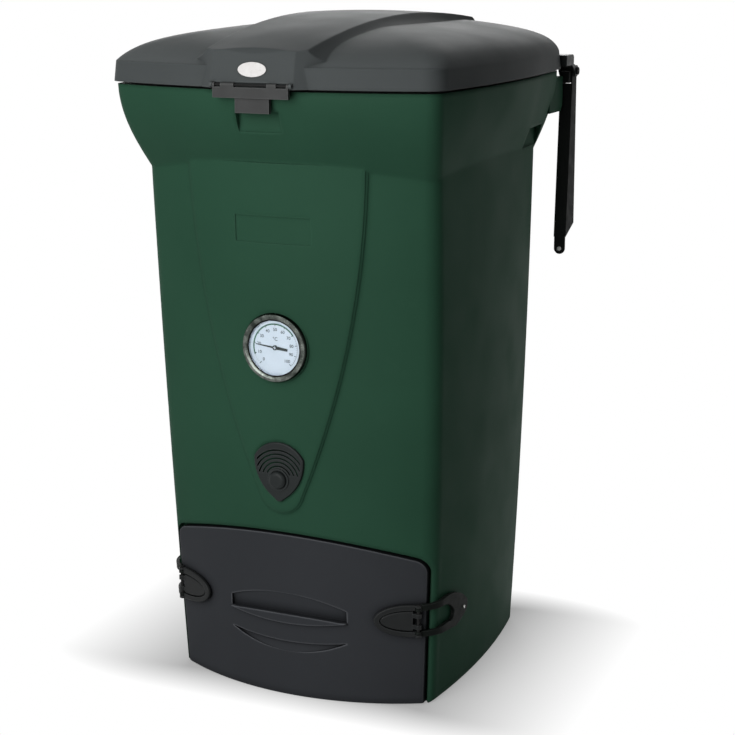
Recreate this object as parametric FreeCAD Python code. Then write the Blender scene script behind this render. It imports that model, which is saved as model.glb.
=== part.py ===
import FreeCAD, Part
import math
import os

# Insulated garden compost bin: a green double-walled body, a grey hinged lid with a front latch,
# a removable emptying hatch with two side latches, a dial thermometer, an air vent and two rear stay arms.
# Millimetres. +X is the bin's right seen from the front, +Y is its back, +Z is up.
# The origin is on the ground, in the middle of the base's width.

os.makedirs("parts", exist_ok=True)
V = FreeCAD.Vector

# Body: plan sizes at the ground, at the neck under the collar, and at the rim
NECK_Z = 860.0
RIM_Z = 996.0
BASE_HALF_W = 227.0
NECK_HALF_W = 246.0
RIM_HALF_W = 268.5
BASE_FRONT = 274.0
NECK_FRONT = 311.0
COLLAR_START_FRONT = 296.0
RIM_FRONT = 360.0
BASE_FRONT_R = 450.0
NECK_FRONT_R = 560.0
RIM_FRONT_R = 762.0
BASE_REAR = 210.0
NECK_REAR = 225.0
COLLAR_START_REAR = 220.0
RIM_REAR = 280.0
REAR_R = 3000.0
BASE_SIDE_BULGE = 16.0
NECK_SIDE_BULGE = 12.0
COLLAR_START_BULGE = 6.0
RIM_SIDE_BULGE = 22.0
BARREL = 5.0
BODY_CORNER = 18.0
RIM_CORNER = 16.0
FOOT_CHAMFER = 4.0
COLLAR_STEPS = 5
COLLAR_CURVE_START = 0.9
BODY_OVERRUN = 60.0

# Walls
SHELL_WALL = 5.0
LINER_WALL = 3.0
FOAM_THICKNESS = 33.0
SEAT_GAP = 0.3
MIN_CORNER = 5.0
LINER_FLOOR_Z = 45.0
LINER_CORNER = 40.0
LINER_FLANGE = 3.0

# Raised shield on the front, with a sunk bare panel
SHIELD_PROUD = 4.0
SHIELD_TOP_HALF = 152.0
SHIELD_MID_HALF = 110.0
SHIELD_FOOT_HALF = 38.0
SHIELD_TOP_Z = 885.0
SHIELD_MID_Z = 572.0
SHIELD_FOOT_Z = 352.0
SHIELD_TIP_Z = 323.0
SHIELD_BEVEL = 3.0
PANEL_HALF_W = 64.0
PANEL_Z = 783.0
PANEL_H = 42.0
PANEL_SINK = 1.5

# Finger pocket in the front of the collar and hand grips in its sides
POCKET_HALF_W = 36.0
POCKET_LOW_Z = 934.0
POCKET_HIGH_Z = 966.0
POCKET_SINK = 14.0
GRIP_Y = 158.0
GRIP_LENGTH = 84.0
GRIP_Z = 892.0
GRIP_HEIGHT = 34.0
GRIP_INNER_X = 250.0

# Emptying hatch: outline seen from the front
HATCH_BASE_Z = 3.0
HATCH_SHOULDER_Z = 249.5
HATCH_CROWN_Z = 285.5
HATCH_SIDE_MARGIN = 10.0
HATCH_CORNER_R = 22.5
HATCH_GAP = 5.0
RABBET = 16.0
PANEL_THICKNESS = 12.0
DOOR_HALF_W = 176.0
DOOR_LOW_Z = 54.0
DOOR_HIGH_Z = 228.0
DOOR_CORNER_R = 20.0
PLUG_GAP = 3.0
PLUG_DEPTH = 44.0
PLUG_WALL = 3.0
HATCH_SEAL_WIDTH = 12.0

# Hatch hand grip: a finger hollow, a raised lens-shaped lip under it, and a shallow scoop below
HANDLE_HALF_W = 104.0
HANDLE_END_Z = 163.0
HANDLE_TOP_Z = 184.0
HANDLE_START_Z = 188.0
HANDLE_SINK = 9.0
LIP_HALF_W = 106.0
LIP_END_Z = 143.0
LIP_TOP_Z = 149.0
LIP_LOW_Z = 133.0
LIP_PROUD = 5.0
SCOOP_END_Z = 107.0
SCOOP_TOP_Z = 99.0
SCOOP_LOW_Z = 82.0
SCOOP_SINK = 8.0

# Side latches of the hatch: a loop hinged on one upright pin, half on the hatch, half round the corner
LATCH_PIN_X = 212.0
LATCH_PIN_OUT = 9.5
LATCH_PIN_R = 2.5
LATCH_PIN_END = 1.5
LATCH_MID_Z = 154.0
LATCH_CENTRE_U = 12.0
LATCH_HALF_LONG = 60.0
LATCH_HALF_H = 27.5
LATCH_BAND = 9.0
LATCH_THICK = 7.0
LATCH_STAND = 3.6
LATCH_ROUND = 2.5
LEAF_GAP = 1.5
LEAF_ROUND = 2.0
ROOT_OVERLAP = 1.0
LEAF_HALF_H = 16.5
LEAF_START_U = 9.0
LEAF_SINK = 6.0
EAR_LOW = 6.0
EAR_HIGH = 13.0
HUB_R = 5.0
KNUCKLE_H = 3.6
PIN_CLEAR = 0.06
KNUCKLE_GAP = 0.8
CATCH_Y = -126.0
CATCH_Z = 144.0
CATCH_PAD_R = 11.0
RIVET_R = 2.8
RIVET_HEAD = 2.0
LINK_THICK = 5.6
LINK_OFF_WALL = 2.2

# The link's outline seen from the right, as Y and Z
LINK_START_Y = -250.0
LINK_TOP = (-184.5, 183.5)
LINK_TOP_BEND = (-146.0, 175.5)
LINK_REAR_TOP = (-117.5, 158.0)
LINK_REAR = (-109.5, 145.0)
LINK_REAR_LOW = (-120.0, 130.5)
LINK_LOW_BEND = (-135.5, 123.0)
LINK_LOW = (-153.0, 119.5)
LINK_LOW_FRONT = (-214.0, 125.5)
LINK_WINDOW_TOP = (-207.0, 171.5)
LINK_WINDOW_BEND = (-176.0, 164.5)
LINK_WINDOW_REAR = (-161.0, 151.0)
LINK_WINDOW_REAR_MID = (-161.0, 141.0)
LINK_WINDOW_REAR_LOW = (-177.0, 136.5)
LINK_WINDOW_LOW = (-214.0, 135.5)

# Thermometer
THERMO_Z = 598.0
THERMO_R = 55.0
THERMO_CASE_R = 51.0
THERMO_DIAL_R = 46.0
THERMO_FACE_R = 43.5
THERMO_PROUD = 8.0
THERMO_POCKET = 6.5
THERMO_CASE_WALL = 1.5
THERMO_BOSS_T = 5.0
BEZEL_STEP = 3.6
BEZEL_BEVEL = 2.0
BEZEL_LIP = 6.0
DIAL_PROUD = 0.5
GLASS_PROUD = 5.2
SPACER_WALL = 1.5
GLASS_T = 2.0
DIAL_T = 1.0
NEEDLE_T = 0.8
NEEDLE_LENGTH = 34.0
NEEDLE_TAIL = 13.0
NEEDLE_REST_DEG = 173.6
NEEDLE_LIFT = 0.6
NEEDLE_HALF_W = 1.2
NEEDLE_TAIL_HALF_W = 1.9
NEEDLE_HUB_R = 4.0
NEEDLE_HUB_T = 1.6
ARBOR_BACK = 2.0
ARBOR_R = 2.0
PROBE_R = 4.0
PROBE_TIP_Y = -130.0
PROBE_COLLAR_R = 8.0
PROBE_COLLAR_T = 2.0

# Air vent
VENT_Z = 382.0
VENT_SHOULDER_Z = 417.0
VENT_CROWN_Z = 443.0
VENT_WAIST_Z = 376.0
VENT_TIP_Z = 345.0
VENT_HALF_W = 43.0
VENT_WAIST_HALF = 33.0
VENT_TIP_RISE = 5.0
VENT_TIP_HALF = 8.0
VENT_PROUD = 5.0
VENT_POCKET = 7.0
VENT_WALL = 2.5
VENT_DUCT_R = 16.0
VENT_DUCT_WALL = 2.5
VENT_RIBS = 5
VENT_RIB_PITCH = 6.6
VENT_SLOT = 2.6
VENT_KNOB_R = 14.5
VENT_KNOB_PROUD = 9.0
VENT_KNOB_ROUND = 6.0
VENT_RING_R = 18.0
VENT_STEM_R = 4.0
SHUTTER_R = 18.5
SHUTTER_T = 2.0
VENT_EDGE_R = 2.0
VENT_SLOT_MARGIN = 5.0
VENT_RING_PROUD = 2.5
VENT_PORT_R = 5.0
VENT_PORT_REACH = 10.0
VENT_GRILLE_PITCH = 5.5

# Lid
SKIRT_LOW_Z = 1000.0
SKIRT_HIGH_Z = 1031.0
LID_HALF_W = 275.0
LID_FRONT = 366.0
LID_FRONT_R = 762.0
LID_REAR = 285.0
LID_SIDE_BULGE = 22.0
LID_CORNER = 24.0
LID_CORNER_GROWTH = 0.1
SKIRT_DRAFT = 3.0
DOME_TOP_Z = 1081.5
DOME_FRONT_REACH = 280.0
DOME_SIDE_REACH = 192.0
DOME_REAR_REACH = 67.0
DOME_FRONT_START = 23.5
DOME_SIDE_START = 1.5
DOME_REAR_START = 6.5
DOME_STEPS = 5
LID_WALL = 3.5
LID_FOAM_GAP = 1.0
LID_PANEL_Z = 1002.0
LID_PANEL_T = 3.0
LID_SEAL_W = 14.0
LID_SEAL_INSET = 24.0

# Ridge along the lid's middle
RIDGE_PROUD = 8.0
RIDGE_FRONT_Z = 1050.0
RIDGE_LEAN = 12.0
RIDGE_BASE_Z = 1000.0
RIDGE_CROWN = 3.0
RIDGE_SLOPE_SAG = 4.0
RIDGE_FACE_HALF = 67.0
RIDGE_BEVEL_W = 19.0
RIDGE_BEVEL_Y = 12.0
RIDGE_BEVEL_REACH = 4.0
RIDGE_FRONT_HALF = 80.0
RIDGE_FRONT_FOOT = 24.0
RIDGE_FRONT_FOOT_Z = 1018.0
RIDGE_QUARTER_Y = -250.0
RIDGE_QUARTER_Z = 1076.0
RIDGE_QUARTER_HALF = 86.0
RIDGE_QUARTER_FOOT = 42.0
RIDGE_QUARTER_FOOT_Z = 1059.0
RIDGE_MID_Y = -50.0
RIDGE_MID_Z = 1096.5
RIDGE_MID_HALF = 92.0
RIDGE_MID_FOOT = 44.0
RIDGE_MID_FOOT_Z = 1074.0
RIDGE_REAR_Y = 262.0
RIDGE_REAR_Z = 1084.5
RIDGE_REAR_HALF = 113.0
RIDGE_REAR_FOOT = 14.0
RIDGE_REAR_FOOT_Z = 1050.0
RIDGE_REAR_BEVEL = 8.0
RIDGE_TOOL_Z = 1130.0
BROW_EDGE_Z = 1056.0
BROW_HALF_W = 56.0
BROW_DEPTH = 3.4

# Badge, left bare
BADGE_HALF_W = 23.0
BADGE_HALF_H = 11.0
BADGE_Z = 1027.0
BADGE_T = 2.0

# Lid latch
LID_LATCH_PIN_Y = -373.0
LID_LATCH_PIN_Z = 1005.0
LID_LATCH_PIN_R = 1.6
LID_LATCH_KNUCKLE_R = 3.1
LID_LATCH_BAR_HALF = 62.0
LID_LATCH_BAR_LOW_Z = 986.0
LID_LATCH_TONGUE_HALF = 28.0
LID_LATCH_TONGUE_LOW_Z = 964.0
LID_LATCH_TONGUE_BACK_Y = -363.5
LID_LATCH_TONGUE_T = 7.0
LID_LATCH_SLOTS = ((-59.0, -49.0), (-27.0, 27.0), (42.0, 59.0))
LID_LATCH_SLOT_DROP = 3.2
LID_LATCH_EAR_T = 5.0
LID_LATCH_EAR_R = 3.6
LID_LATCH_CLEAR = 0.5
LID_LATCH_LAP = 5.5

# Rear hinges and stay arms; Y and Z of the arm's corners count from the hinge pin
HINGE_X = 270.5
HINGE_Y = 323.0
HINGE_Z = 992.0
HINGE_PIN_R = 4.0
HINGE_PIN_HEAD_R = 6.5
HINGE_PIN_HEAD_T = 2.5
EYE_R = 10.0
EYE_HALF_W = 8.0
EYE_WEB_H = 20.0
ARM_HALF_W = 11.0
ARM_SHEET = 2.5
ARM_EYE_R = 11.0
ARM_WEB_TOP_Y = -12.0
ARM_WEB_TOP_Z = -21.5
ARM_WEB_LOW_Y = -27.0
ARM_WEB_LOW_Z = -293.0
ARM_BACK_TOP_Y = 13.0
ARM_BACK_LOW_Y = 21.0
ARM_BACK_LOW_Z = -273.0
ARM_TAB = 31.0
ARM_TAB_HALF_W = 10.0
ARM_TIP_PIN_R = 2.5
ARM_TAB_LAP = 8.0
ARM_RIVET_HEAD = 1.5
ARM_SLOPE_ROOM = 10.0
LUG_T = 3.0
LUG_GAP = 1.0
KNUCKLE_LOW_Z = 1003.5
KNUCKLE_HIGH_Z = 1022.0
KNUCKLE_FRONT_Y = 262.0
KNUCKLE_BACK_Y = 307.0
KNUCKLE_ROUND = 6.0
LUG_ROOT_Y = 293.0
BLOCK_LOW_Z = 924.0
BLOCK_HIGH_Z = 984.0
BLOCK_INNER_X = 236.0
BLOCK_OUTER_X = 268.0
BLOCK_BACK_Y = 299.0
BLOCK_BEVEL = 10.0
BRACKET_T = 4.0
BRACKET_MARGIN = 3.0
SCREW_R = 2.5
SCREW_HEAD_R = 4.5
SCREW_HEAD_T = 2.0
SCREW_DEPTH = 16.0
SCREW_INSET = 9.0
SCREW_SLOT = 1.2
SCREW_SLOT_DEPTH = 1.0

# Inside and underneath
GRATE_Z = 68.0
GRATE_T = 5.0
GRATE_MARGIN = 5.0
GRATE_HOLE = 12.0
GRATE_PITCH = 40.0
GRATE_FOOT_R = 8.0
DRAIN_Z = 62.0
DRAIN_R = 13.0
DRAIN_WALL = 3.0
DRAIN_PROUD = 22.0
DRAIN_CAP_R = 17.0
DRAIN_CAP_LENGTH = 16.0
DRAIN_CAP_END = 4.0
DRAIN_CAP_GRIP = 8.0
DRAIN_CAP_GRIP_T = 5.0


# How far the cutting tools reach past the body
FAR_FRONT = -420.0
FAR = 500.0
OVERCUT = 1.0
FRONT_REACH = 270.0
FRONT_LOW = -10.0
FRONT_HIGH = 900.0
SHIELD_LOW = 300.0
HATCH_LEVEL_HIGH = 330.0


def lerp(a, b, t):
    return a + (b - a) * t


def save(name, shape):
    shape.exportStep(os.path.join("parts", name + ".step"))
    print(name, len(shape.Solids), "solids", round(shape.Volume / 1000.0, 1), "cm3", shape.isValid())


def block(x0, x1, y0, y1, z0, z1):
    return Part.makeBox(x1 - x0, y1 - y0, z1 - z0, V(x0, y0, z0))


def rod(radius, start, end):
    axis = end.sub(start)
    return Part.makeCylinder(radius, axis.Length, start, axis)


def mirrored(shape):
    return shape.mirror(V(0, 0, 0), V(1, 0, 0))


def polygon(points):
    return Part.makePolygon(points + [points[0]])


def prism(wire, direction):
    return Part.Face(wire).extrude(direction)


def arc(a, b, c):
    return Part.Arc(a, b, c).toShape()


def line(a, b):
    return Part.LineSegment(a, b).toShape()


def edges_along(shape, direction, test=None):
    found = []
    for edge in shape.Edges:
        if len(edge.Vertexes) < 2:
            continue
        span = edge.Vertexes[1].Point.sub(edge.Vertexes[0].Point)
        if span.Length > 0 and abs(span.normalize().dot(direction)) > 0.999:
            if test is None or test(edge.CenterOfMass):
                found.append(edge)
    return found


# Plan outlines: bulged front, sides and back, joined by rounded corners
class Plan:
    def __init__(self, half_w, front, front_r, rear, rear_r, side, corner):
        self.half_w = half_w
        self.front = front
        self.front_r = front_r
        self.rear = rear
        self.rear_r = rear_r
        self.side = side
        self.corner = corner

    def front_y(self, x, inset=0.0):
        radius = self.front_r - inset
        return self.front_r - self.front - math.sqrt(radius ** 2 - x ** 2)

    def rear_y(self, x, inset=0.0):
        radius = self.rear_r - inset
        return self.rear - self.rear_r + math.sqrt(radius ** 2 - x ** 2)

    def side_x(self, y, inset=0.0):
        half_w = self.half_w - inset
        front = self.front_y(half_w, inset)
        rear = self.rear_y(half_w, inset)
        chord = (rear - front) / 2
        radius = (chord ** 2 + self.side ** 2) / (2 * self.side)
        return half_w + self.side - radius + math.sqrt(radius ** 2 - (y - (front + rear) / 2) ** 2)


def corner_arc(start, start_dir, end, end_dir):
    chord = end.sub(start)
    turn = start_dir.getAngle(end_dir)
    bow = chord.Length / 2 * math.tan(turn / 4)
    outward = V(chord.y, -chord.x, 0).normalize()
    return arc(start, start.add(chord * 0.5).add(outward * bow), end)


def ring(plan, z, inset=0.0):
    half_w = plan.half_w - inset
    corner = max(plan.corner - inset, MIN_CORNER)
    front_r = plan.front_r - inset
    rear_r = plan.rear_r - inset
    front_centre = plan.front_r - plan.front
    rear_centre = plan.rear - plan.rear_r
    front_corner = plan.front_y(half_w, inset)
    rear_corner = plan.rear_y(half_w, inset)
    middle = (front_corner + rear_corner) / 2
    chord = (rear_corner - front_corner) / 2
    side_r = (chord ** 2 + plan.side ** 2) / (2 * plan.side)
    side_centre = half_w + plan.side - side_r
    front_turn = math.asin(half_w / front_r) - corner / front_r
    side_turn = math.asin(chord / side_r) - corner / side_r
    rear_turn = math.asin(half_w / rear_r) - corner / rear_r

    a = V(front_r * math.sin(front_turn), front_centre - front_r * math.cos(front_turn), z)
    b = V(side_centre + side_r * math.cos(side_turn), middle - side_r * math.sin(side_turn), z)
    c = V(b.x, middle + side_r * math.sin(side_turn), z)
    d = V(rear_r * math.sin(rear_turn), rear_centre + rear_r * math.cos(rear_turn), z)
    a_dir = V(math.cos(front_turn), math.sin(front_turn), 0)
    b_dir = V(math.sin(side_turn), math.cos(side_turn), 0)
    c_dir = V(-math.sin(side_turn), math.cos(side_turn), 0)
    d_dir = V(-math.cos(rear_turn), math.sin(rear_turn), 0)

    def flip(p):
        return V(-p.x, p.y, p.z)

    def flip_dir(p):
        return V(p.x, -p.y, 0)

    front_top = V(0, -plan.front + inset, z)
    rear_top = V(0, plan.rear - inset, z)
    side_top = V(half_w + plan.side, middle, z)
    edges = [
        arc(flip(a), front_top, a),
        corner_arc(a, a_dir, b, b_dir),
        arc(b, side_top, c),
        corner_arc(c, c_dir, d, d_dir),
        arc(d, rear_top, flip(d)),
        corner_arc(flip(d), flip_dir(d_dir), flip(c), flip_dir(c_dir)),
        arc(flip(c), flip(side_top), flip(b)),
        corner_arc(flip(b), flip_dir(b_dir), flip(a), flip_dir(a_dir)),
    ]
    return Part.Wire(edges)


def body_plan(z):
    t = z / NECK_Z
    swell = max(0.0, 4 * BARREL * t * (1 - t))
    return Plan(
        lerp(BASE_HALF_W, NECK_HALF_W, t) + swell,
        lerp(BASE_FRONT, NECK_FRONT, t),
        lerp(BASE_FRONT_R, NECK_FRONT_R, t),
        lerp(BASE_REAR, NECK_REAR, t),
        REAR_R,
        lerp(BASE_SIDE_BULGE, NECK_SIDE_BULGE, t),
        BODY_CORNER,
    )


def collar_plan(z):
    t = (z - NECK_Z) / (RIM_Z - NECK_Z)
    flare = math.sin(math.pi / 2 * min(t, 1.0))
    return Plan(
        lerp(NECK_HALF_W, RIM_HALF_W, flare),
        lerp(COLLAR_START_FRONT, RIM_FRONT, flare),
        lerp(NECK_FRONT_R, RIM_FRONT_R, max(flare, COLLAR_CURVE_START)),
        lerp(COLLAR_START_REAR, RIM_REAR, flare),
        REAR_R,
        lerp(COLLAR_START_BULGE, RIM_SIDE_BULGE, flare),
        lerp(BODY_CORNER, RIM_CORNER, flare),
    )


def body_levels(low):
    return [low, NECK_Z / 2, NECK_Z + BODY_OVERRUN]


def body_core(inset, low):
    wires = [ring(body_plan(z), z, inset) for z in body_levels(low)]
    return Part.makeLoft(wires, True, False)


def collar_core(inset, top):
    levels = [lerp(NECK_Z, RIM_Z, i / (COLLAR_STEPS - 1)) for i in range(COLLAR_STEPS)]
    wires = [ring(collar_plan(z), z, inset) for z in levels]
    solid = Part.makeLoft(wires, True, False)
    if top > RIM_Z:
        rim_wire = ring(collar_plan(RIM_Z), RIM_Z, inset)
        solid = solid.fuse(prism(rim_wire, V(0, 0, top - RIM_Z)))
    return solid


def body_volume(inset, low, top):
    return body_core(inset, low).fuse(collar_core(inset, top))


# Everything behind the body's front face, which runs on past the corners
def front_block(inset, low, high, half_w=FRONT_REACH):
    wires = []
    for z in (low, (low + high) / 2, high):
        plan = body_plan(z)
        side_y = plan.front_y(half_w, inset)
        left = V(-half_w, side_y, z)
        right = V(half_w, side_y, z)
        crown = V(0, -plan.front + inset, z)
        back_right = V(half_w, 0, z)
        back_left = V(-half_w, 0, z)
        wires.append(Part.Wire([
            arc(left, crown, right),
            line(right, back_right),
            line(back_right, back_left),
            line(back_left, left),
        ]))
    return Part.makeLoft(wires, True, False)


def hatch_prism(grow):
    low = HATCH_BASE_Z - grow
    shoulder = HATCH_SHOULDER_Z + grow
    crown = HATCH_CROWN_Z + grow
    low_x = body_plan(low).half_w - HATCH_SIDE_MARGIN + grow
    high_x = body_plan(shoulder).half_w - HATCH_SIDE_MARGIN + grow
    a = V(-low_x, FAR_FRONT, low)
    b = V(low_x, FAR_FRONT, low)
    c = V(high_x, FAR_FRONT, shoulder)
    d = V(-high_x, FAR_FRONT, shoulder)
    top = V(0, FAR_FRONT, crown)
    wire = Part.Wire([line(a, b), line(b, c), arc(c, top, d), line(d, a)])
    solid = prism(wire, V(0, -FAR_FRONT, 0))
    upper = edges_along(solid, V(0, 1, 0), lambda p: p.z > HATCH_SHOULDER_Z / 2)
    return solid.makeFillet(HATCH_CORNER_R + grow, upper)


def door_prism(grow, y0, y1):
    solid = block(-DOOR_HALF_W - grow, DOOR_HALF_W + grow, y0, y1, DOOR_LOW_Z - grow, DOOR_HIGH_Z + grow)
    return solid.makeFillet(DOOR_CORNER_R + grow, edges_along(solid, V(0, 1, 0)))


def rabbet(grow):
    return hatch_prism(HATCH_GAP + grow).cut(front_block(RABBET + grow, FRONT_LOW - grow, HATCH_LEVEL_HIGH))


def shield_wire(y, shrink=0.0):
    foot = V(SHIELD_FOOT_HALF - shrink, y, SHIELD_FOOT_Z)
    tip = V(0, y, SHIELD_TIP_Z + shrink)
    mid = V(SHIELD_MID_HALF - shrink, y, SHIELD_MID_Z)
    top = V(SHIELD_TOP_HALF - shrink, y, SHIELD_TOP_Z)

    def flip(p):
        return V(-p.x, p.y, p.z)

    return Part.Wire([
        arc(flip(foot), tip, foot),
        arc(foot, mid, top),
        line(top, flip(top)),
        arc(flip(top), flip(mid), flip(foot)),
    ])


# The shield is a flat-topped slab with one sloped step round its edge
def shield_solid():
    outer = Part.Face(shield_wire(FAR_FRONT)).extrude(V(0, -FAR_FRONT, 0))
    inner = Part.Face(shield_wire(FAR_FRONT, SHIELD_BEVEL)).extrude(V(0, -FAR_FRONT, 0))
    low = outer.common(front_block(-SHIELD_PROUD / 2, SHIELD_LOW, FRONT_HIGH))
    high = inner.common(front_block(-SHIELD_PROUD, SHIELD_LOW, FRONT_HIGH))
    solid = low.fuse(high)
    panel = block(-PANEL_HALF_W, PANEL_HALF_W, FAR_FRONT, 0, PANEL_Z - PANEL_H / 2, PANEL_Z + PANEL_H / 2)
    panel = panel.cut(front_block(PANEL_SINK - SHIELD_PROUD, SHIELD_LOW, FRONT_HIGH))
    return solid.cut(panel)


def front_at(z, x=0.0):
    return body_plan(z).front_y(x)


THERMO_FACE_Y = front_at(THERMO_Z) - SHIELD_PROUD
THERMO_SEAT_Y = THERMO_FACE_Y + THERMO_POCKET
THERMO_FRONT_Y = THERMO_FACE_Y - THERMO_PROUD
THERMO_DIAL_Y = THERMO_FACE_Y - DIAL_PROUD
THERMO_GLASS_Y = THERMO_FACE_Y - GLASS_PROUD
VENT_FACE_Y = front_at(VENT_Z) - SHIELD_PROUD
VENT_SEAT_Y = VENT_FACE_Y + VENT_POCKET
VENT_FRONT_Y = VENT_FACE_Y - VENT_PROUD


def vent_wire(y, grow=0.0):
    shoulder = V(VENT_HALF_W + grow, y, VENT_SHOULDER_Z)
    crown = V(0, y, VENT_CROWN_Z + grow)
    waist = V(VENT_WAIST_HALF + grow, y, VENT_WAIST_Z)
    low = V(VENT_TIP_HALF + grow, y, VENT_TIP_Z + VENT_TIP_RISE - grow / 2)
    tip = V(0, y, VENT_TIP_Z - grow)

    def flip(p):
        return V(-p.x, p.y, p.z)

    return Part.Wire([
        arc(flip(low), tip, low),
        arc(low, waist, shoulder),
        arc(shoulder, crown, flip(shoulder)),
        arc(flip(shoulder), flip(waist), flip(low)),
    ])


def finger_pocket(grow):
    y = collar_plan(POCKET_HIGH_Z).front_y(0) + POCKET_SINK + grow
    solid = block(-POCKET_HALF_W - grow, POCKET_HALF_W + grow, FAR_FRONT, y,
                  POCKET_LOW_Z - grow, POCKET_HIGH_Z + grow)
    return solid


def hand_grip(grow):
    x = GRIP_INNER_X - grow
    half = GRIP_LENGTH / 2 + grow
    return block(x, FAR, GRIP_Y - half, GRIP_Y + half, GRIP_Z - GRIP_HEIGHT / 2 - grow,
                 GRIP_Z + GRIP_HEIGHT / 2 + grow)


def hinge_block():
    solid = block(BLOCK_INNER_X, BLOCK_OUTER_X, NECK_REAR, BLOCK_BACK_Y, BLOCK_LOW_Z, BLOCK_HIGH_Z)
    low_back = edges_along(solid, V(1, 0, 0), lambda p: p.y > BLOCK_BACK_Y - OVERCUT and p.z < BLOCK_LOW_Z + OVERCUT)
    return solid.makeChamfer(BLOCK_BEVEL, low_back)


def liner_plan(z):
    base = body_plan(z)
    step = SHELL_WALL + FOAM_THICKNESS
    return Plan(base.half_w - step, base.front - step, base.front_r - step, base.rear - step,
                REAR_R, base.side, LINER_CORNER)


def liner_volume(inset, low, top):
    wires = [ring(liner_plan(z), z, inset) for z in (low, NECK_Z / 2, top)]
    return Part.makeLoft(wires, True, False)


DRAIN_END_Y = body_plan(DRAIN_Z).rear + DRAIN_PROUD
DRAIN_START_Y = liner_plan(DRAIN_Z).rear - LINER_WALL


def thermo_probe_hole(radius):
    return rod(radius, V(0, FAR_FRONT, THERMO_Z), V(0, PROBE_TIP_Y, THERMO_Z))


def duct_hole(radius):
    return rod(radius, V(0, FAR_FRONT, VENT_Z), V(0, 0, VENT_Z))


def drain_hole(radius):
    return rod(radius, V(0, 0, DRAIN_Z), V(0, FAR, DRAIN_Z))


def skin_volume():
    sole = ring(body_plan(0.0), 0.0, FOOT_CHAMFER)
    foot = Part.makeLoft([sole, ring(body_plan(FOOT_CHAMFER), FOOT_CHAMFER)], True, True)
    return body_core(0.0, FOOT_CHAMFER).fuse(foot)


def thermo_disc(radius, front_y, back_y):
    return rod(radius, V(0, front_y, THERMO_Z), V(0, back_y, THERMO_Z))


# Body pieces that do not move
def outer_shell():
    skin = skin_volume().fuse(collar_core(0.0, RIM_Z)).fuse(shield_solid())
    skin = skin.fuse(thermo_disc(THERMO_R + THERMO_CASE_WALL, THERMO_FACE_Y, THERMO_FACE_Y + THERMO_BOSS_T))
    skin = skin.cut(thermo_disc(THERMO_R + SEAT_GAP, FAR_FRONT, THERMO_FACE_Y))
    for hinge in (hinge_block(), mirrored(hinge_block())):
        skin = skin.fuse(hinge)
    room = body_volume(SHELL_WALL, SHELL_WALL + FOOT_CHAMFER, RIM_Z + FOOT_CHAMFER)
    room = room.cut(rabbet(SHELL_WALL)).cut(finger_pocket(SHELL_WALL))
    room = room.cut(hand_grip(SHELL_WALL)).cut(mirrored(hand_grip(SHELL_WALL)))
    skin = skin.cut(room).cut(rabbet(0.0)).cut(finger_pocket(0.0))
    skin = skin.cut(hand_grip(0.0)).cut(mirrored(hand_grip(0.0)))
    skin = skin.cut(door_prism(0.0, FAR_FRONT, 0))
    seat = thermo_disc(THERMO_CASE_R + SEAT_GAP, FAR_FRONT, THERMO_SEAT_Y)
    vent_seat = prism(vent_wire(FAR_FRONT, SEAT_GAP), V(0, VENT_SEAT_Y - FAR_FRONT, 0))
    skin = skin.cut(seat).cut(vent_seat)
    skin = skin.cut(thermo_probe_hole(PROBE_R + PIN_CLEAR))
    skin = skin.cut(duct_hole(VENT_DUCT_R + VENT_DUCT_WALL)).cut(screw_holes())
    return skin.cut(drain_hole(DRAIN_R + DRAIN_WALL))


def inner_liner():
    outer = liner_volume(0.0, LINER_FLOOR_Z, RIM_Z)
    inner = liner_volume(LINER_WALL, LINER_FLOOR_Z + LINER_WALL, RIM_Z + OVERCUT)
    flange_wire = ring(collar_plan(RIM_Z), RIM_Z - LINER_FLANGE, SHELL_WALL + SEAT_GAP)
    flange = prism(flange_wire, V(0, 0, LINER_FLANGE))
    tub = outer.fuse(flange).cut(inner)
    tub = tub.cut(door_prism(0.0, FAR_FRONT, 0))
    tub = tub.cut(thermo_probe_hole(PROBE_R + PIN_CLEAR))
    tub = tub.cut(duct_hole(VENT_DUCT_R + VENT_DUCT_WALL))
    return tub.cut(drain_hole(DRAIN_R))


def wall_insulation():
    inset = SHELL_WALL + SEAT_GAP
    top = RIM_Z - LINER_FLANGE - SEAT_GAP
    foam = body_volume(inset, inset + FOOT_CHAMFER, RIM_Z)
    foam = foam.cut(block(-FAR, FAR, -FAR, FAR, top, RIM_Z + LINER_FLOOR_Z))
    foam = foam.cut(liner_volume(-SEAT_GAP, LINER_FLOOR_Z - SEAT_GAP, RIM_Z + OVERCUT))
    foam = foam.cut(rabbet(inset)).cut(finger_pocket(inset))
    foam = foam.cut(hand_grip(inset)).cut(mirrored(hand_grip(inset)))
    foam = foam.cut(door_prism(0.0, FAR_FRONT, 0))
    foam = foam.cut(thermo_probe_hole(PROBE_R + SEAT_GAP))
    foam = foam.cut(duct_hole(VENT_DUCT_R + VENT_DUCT_WALL + SEAT_GAP))
    return foam.cut(drain_hole(DRAIN_R + DRAIN_WALL + SEAT_GAP))


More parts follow.
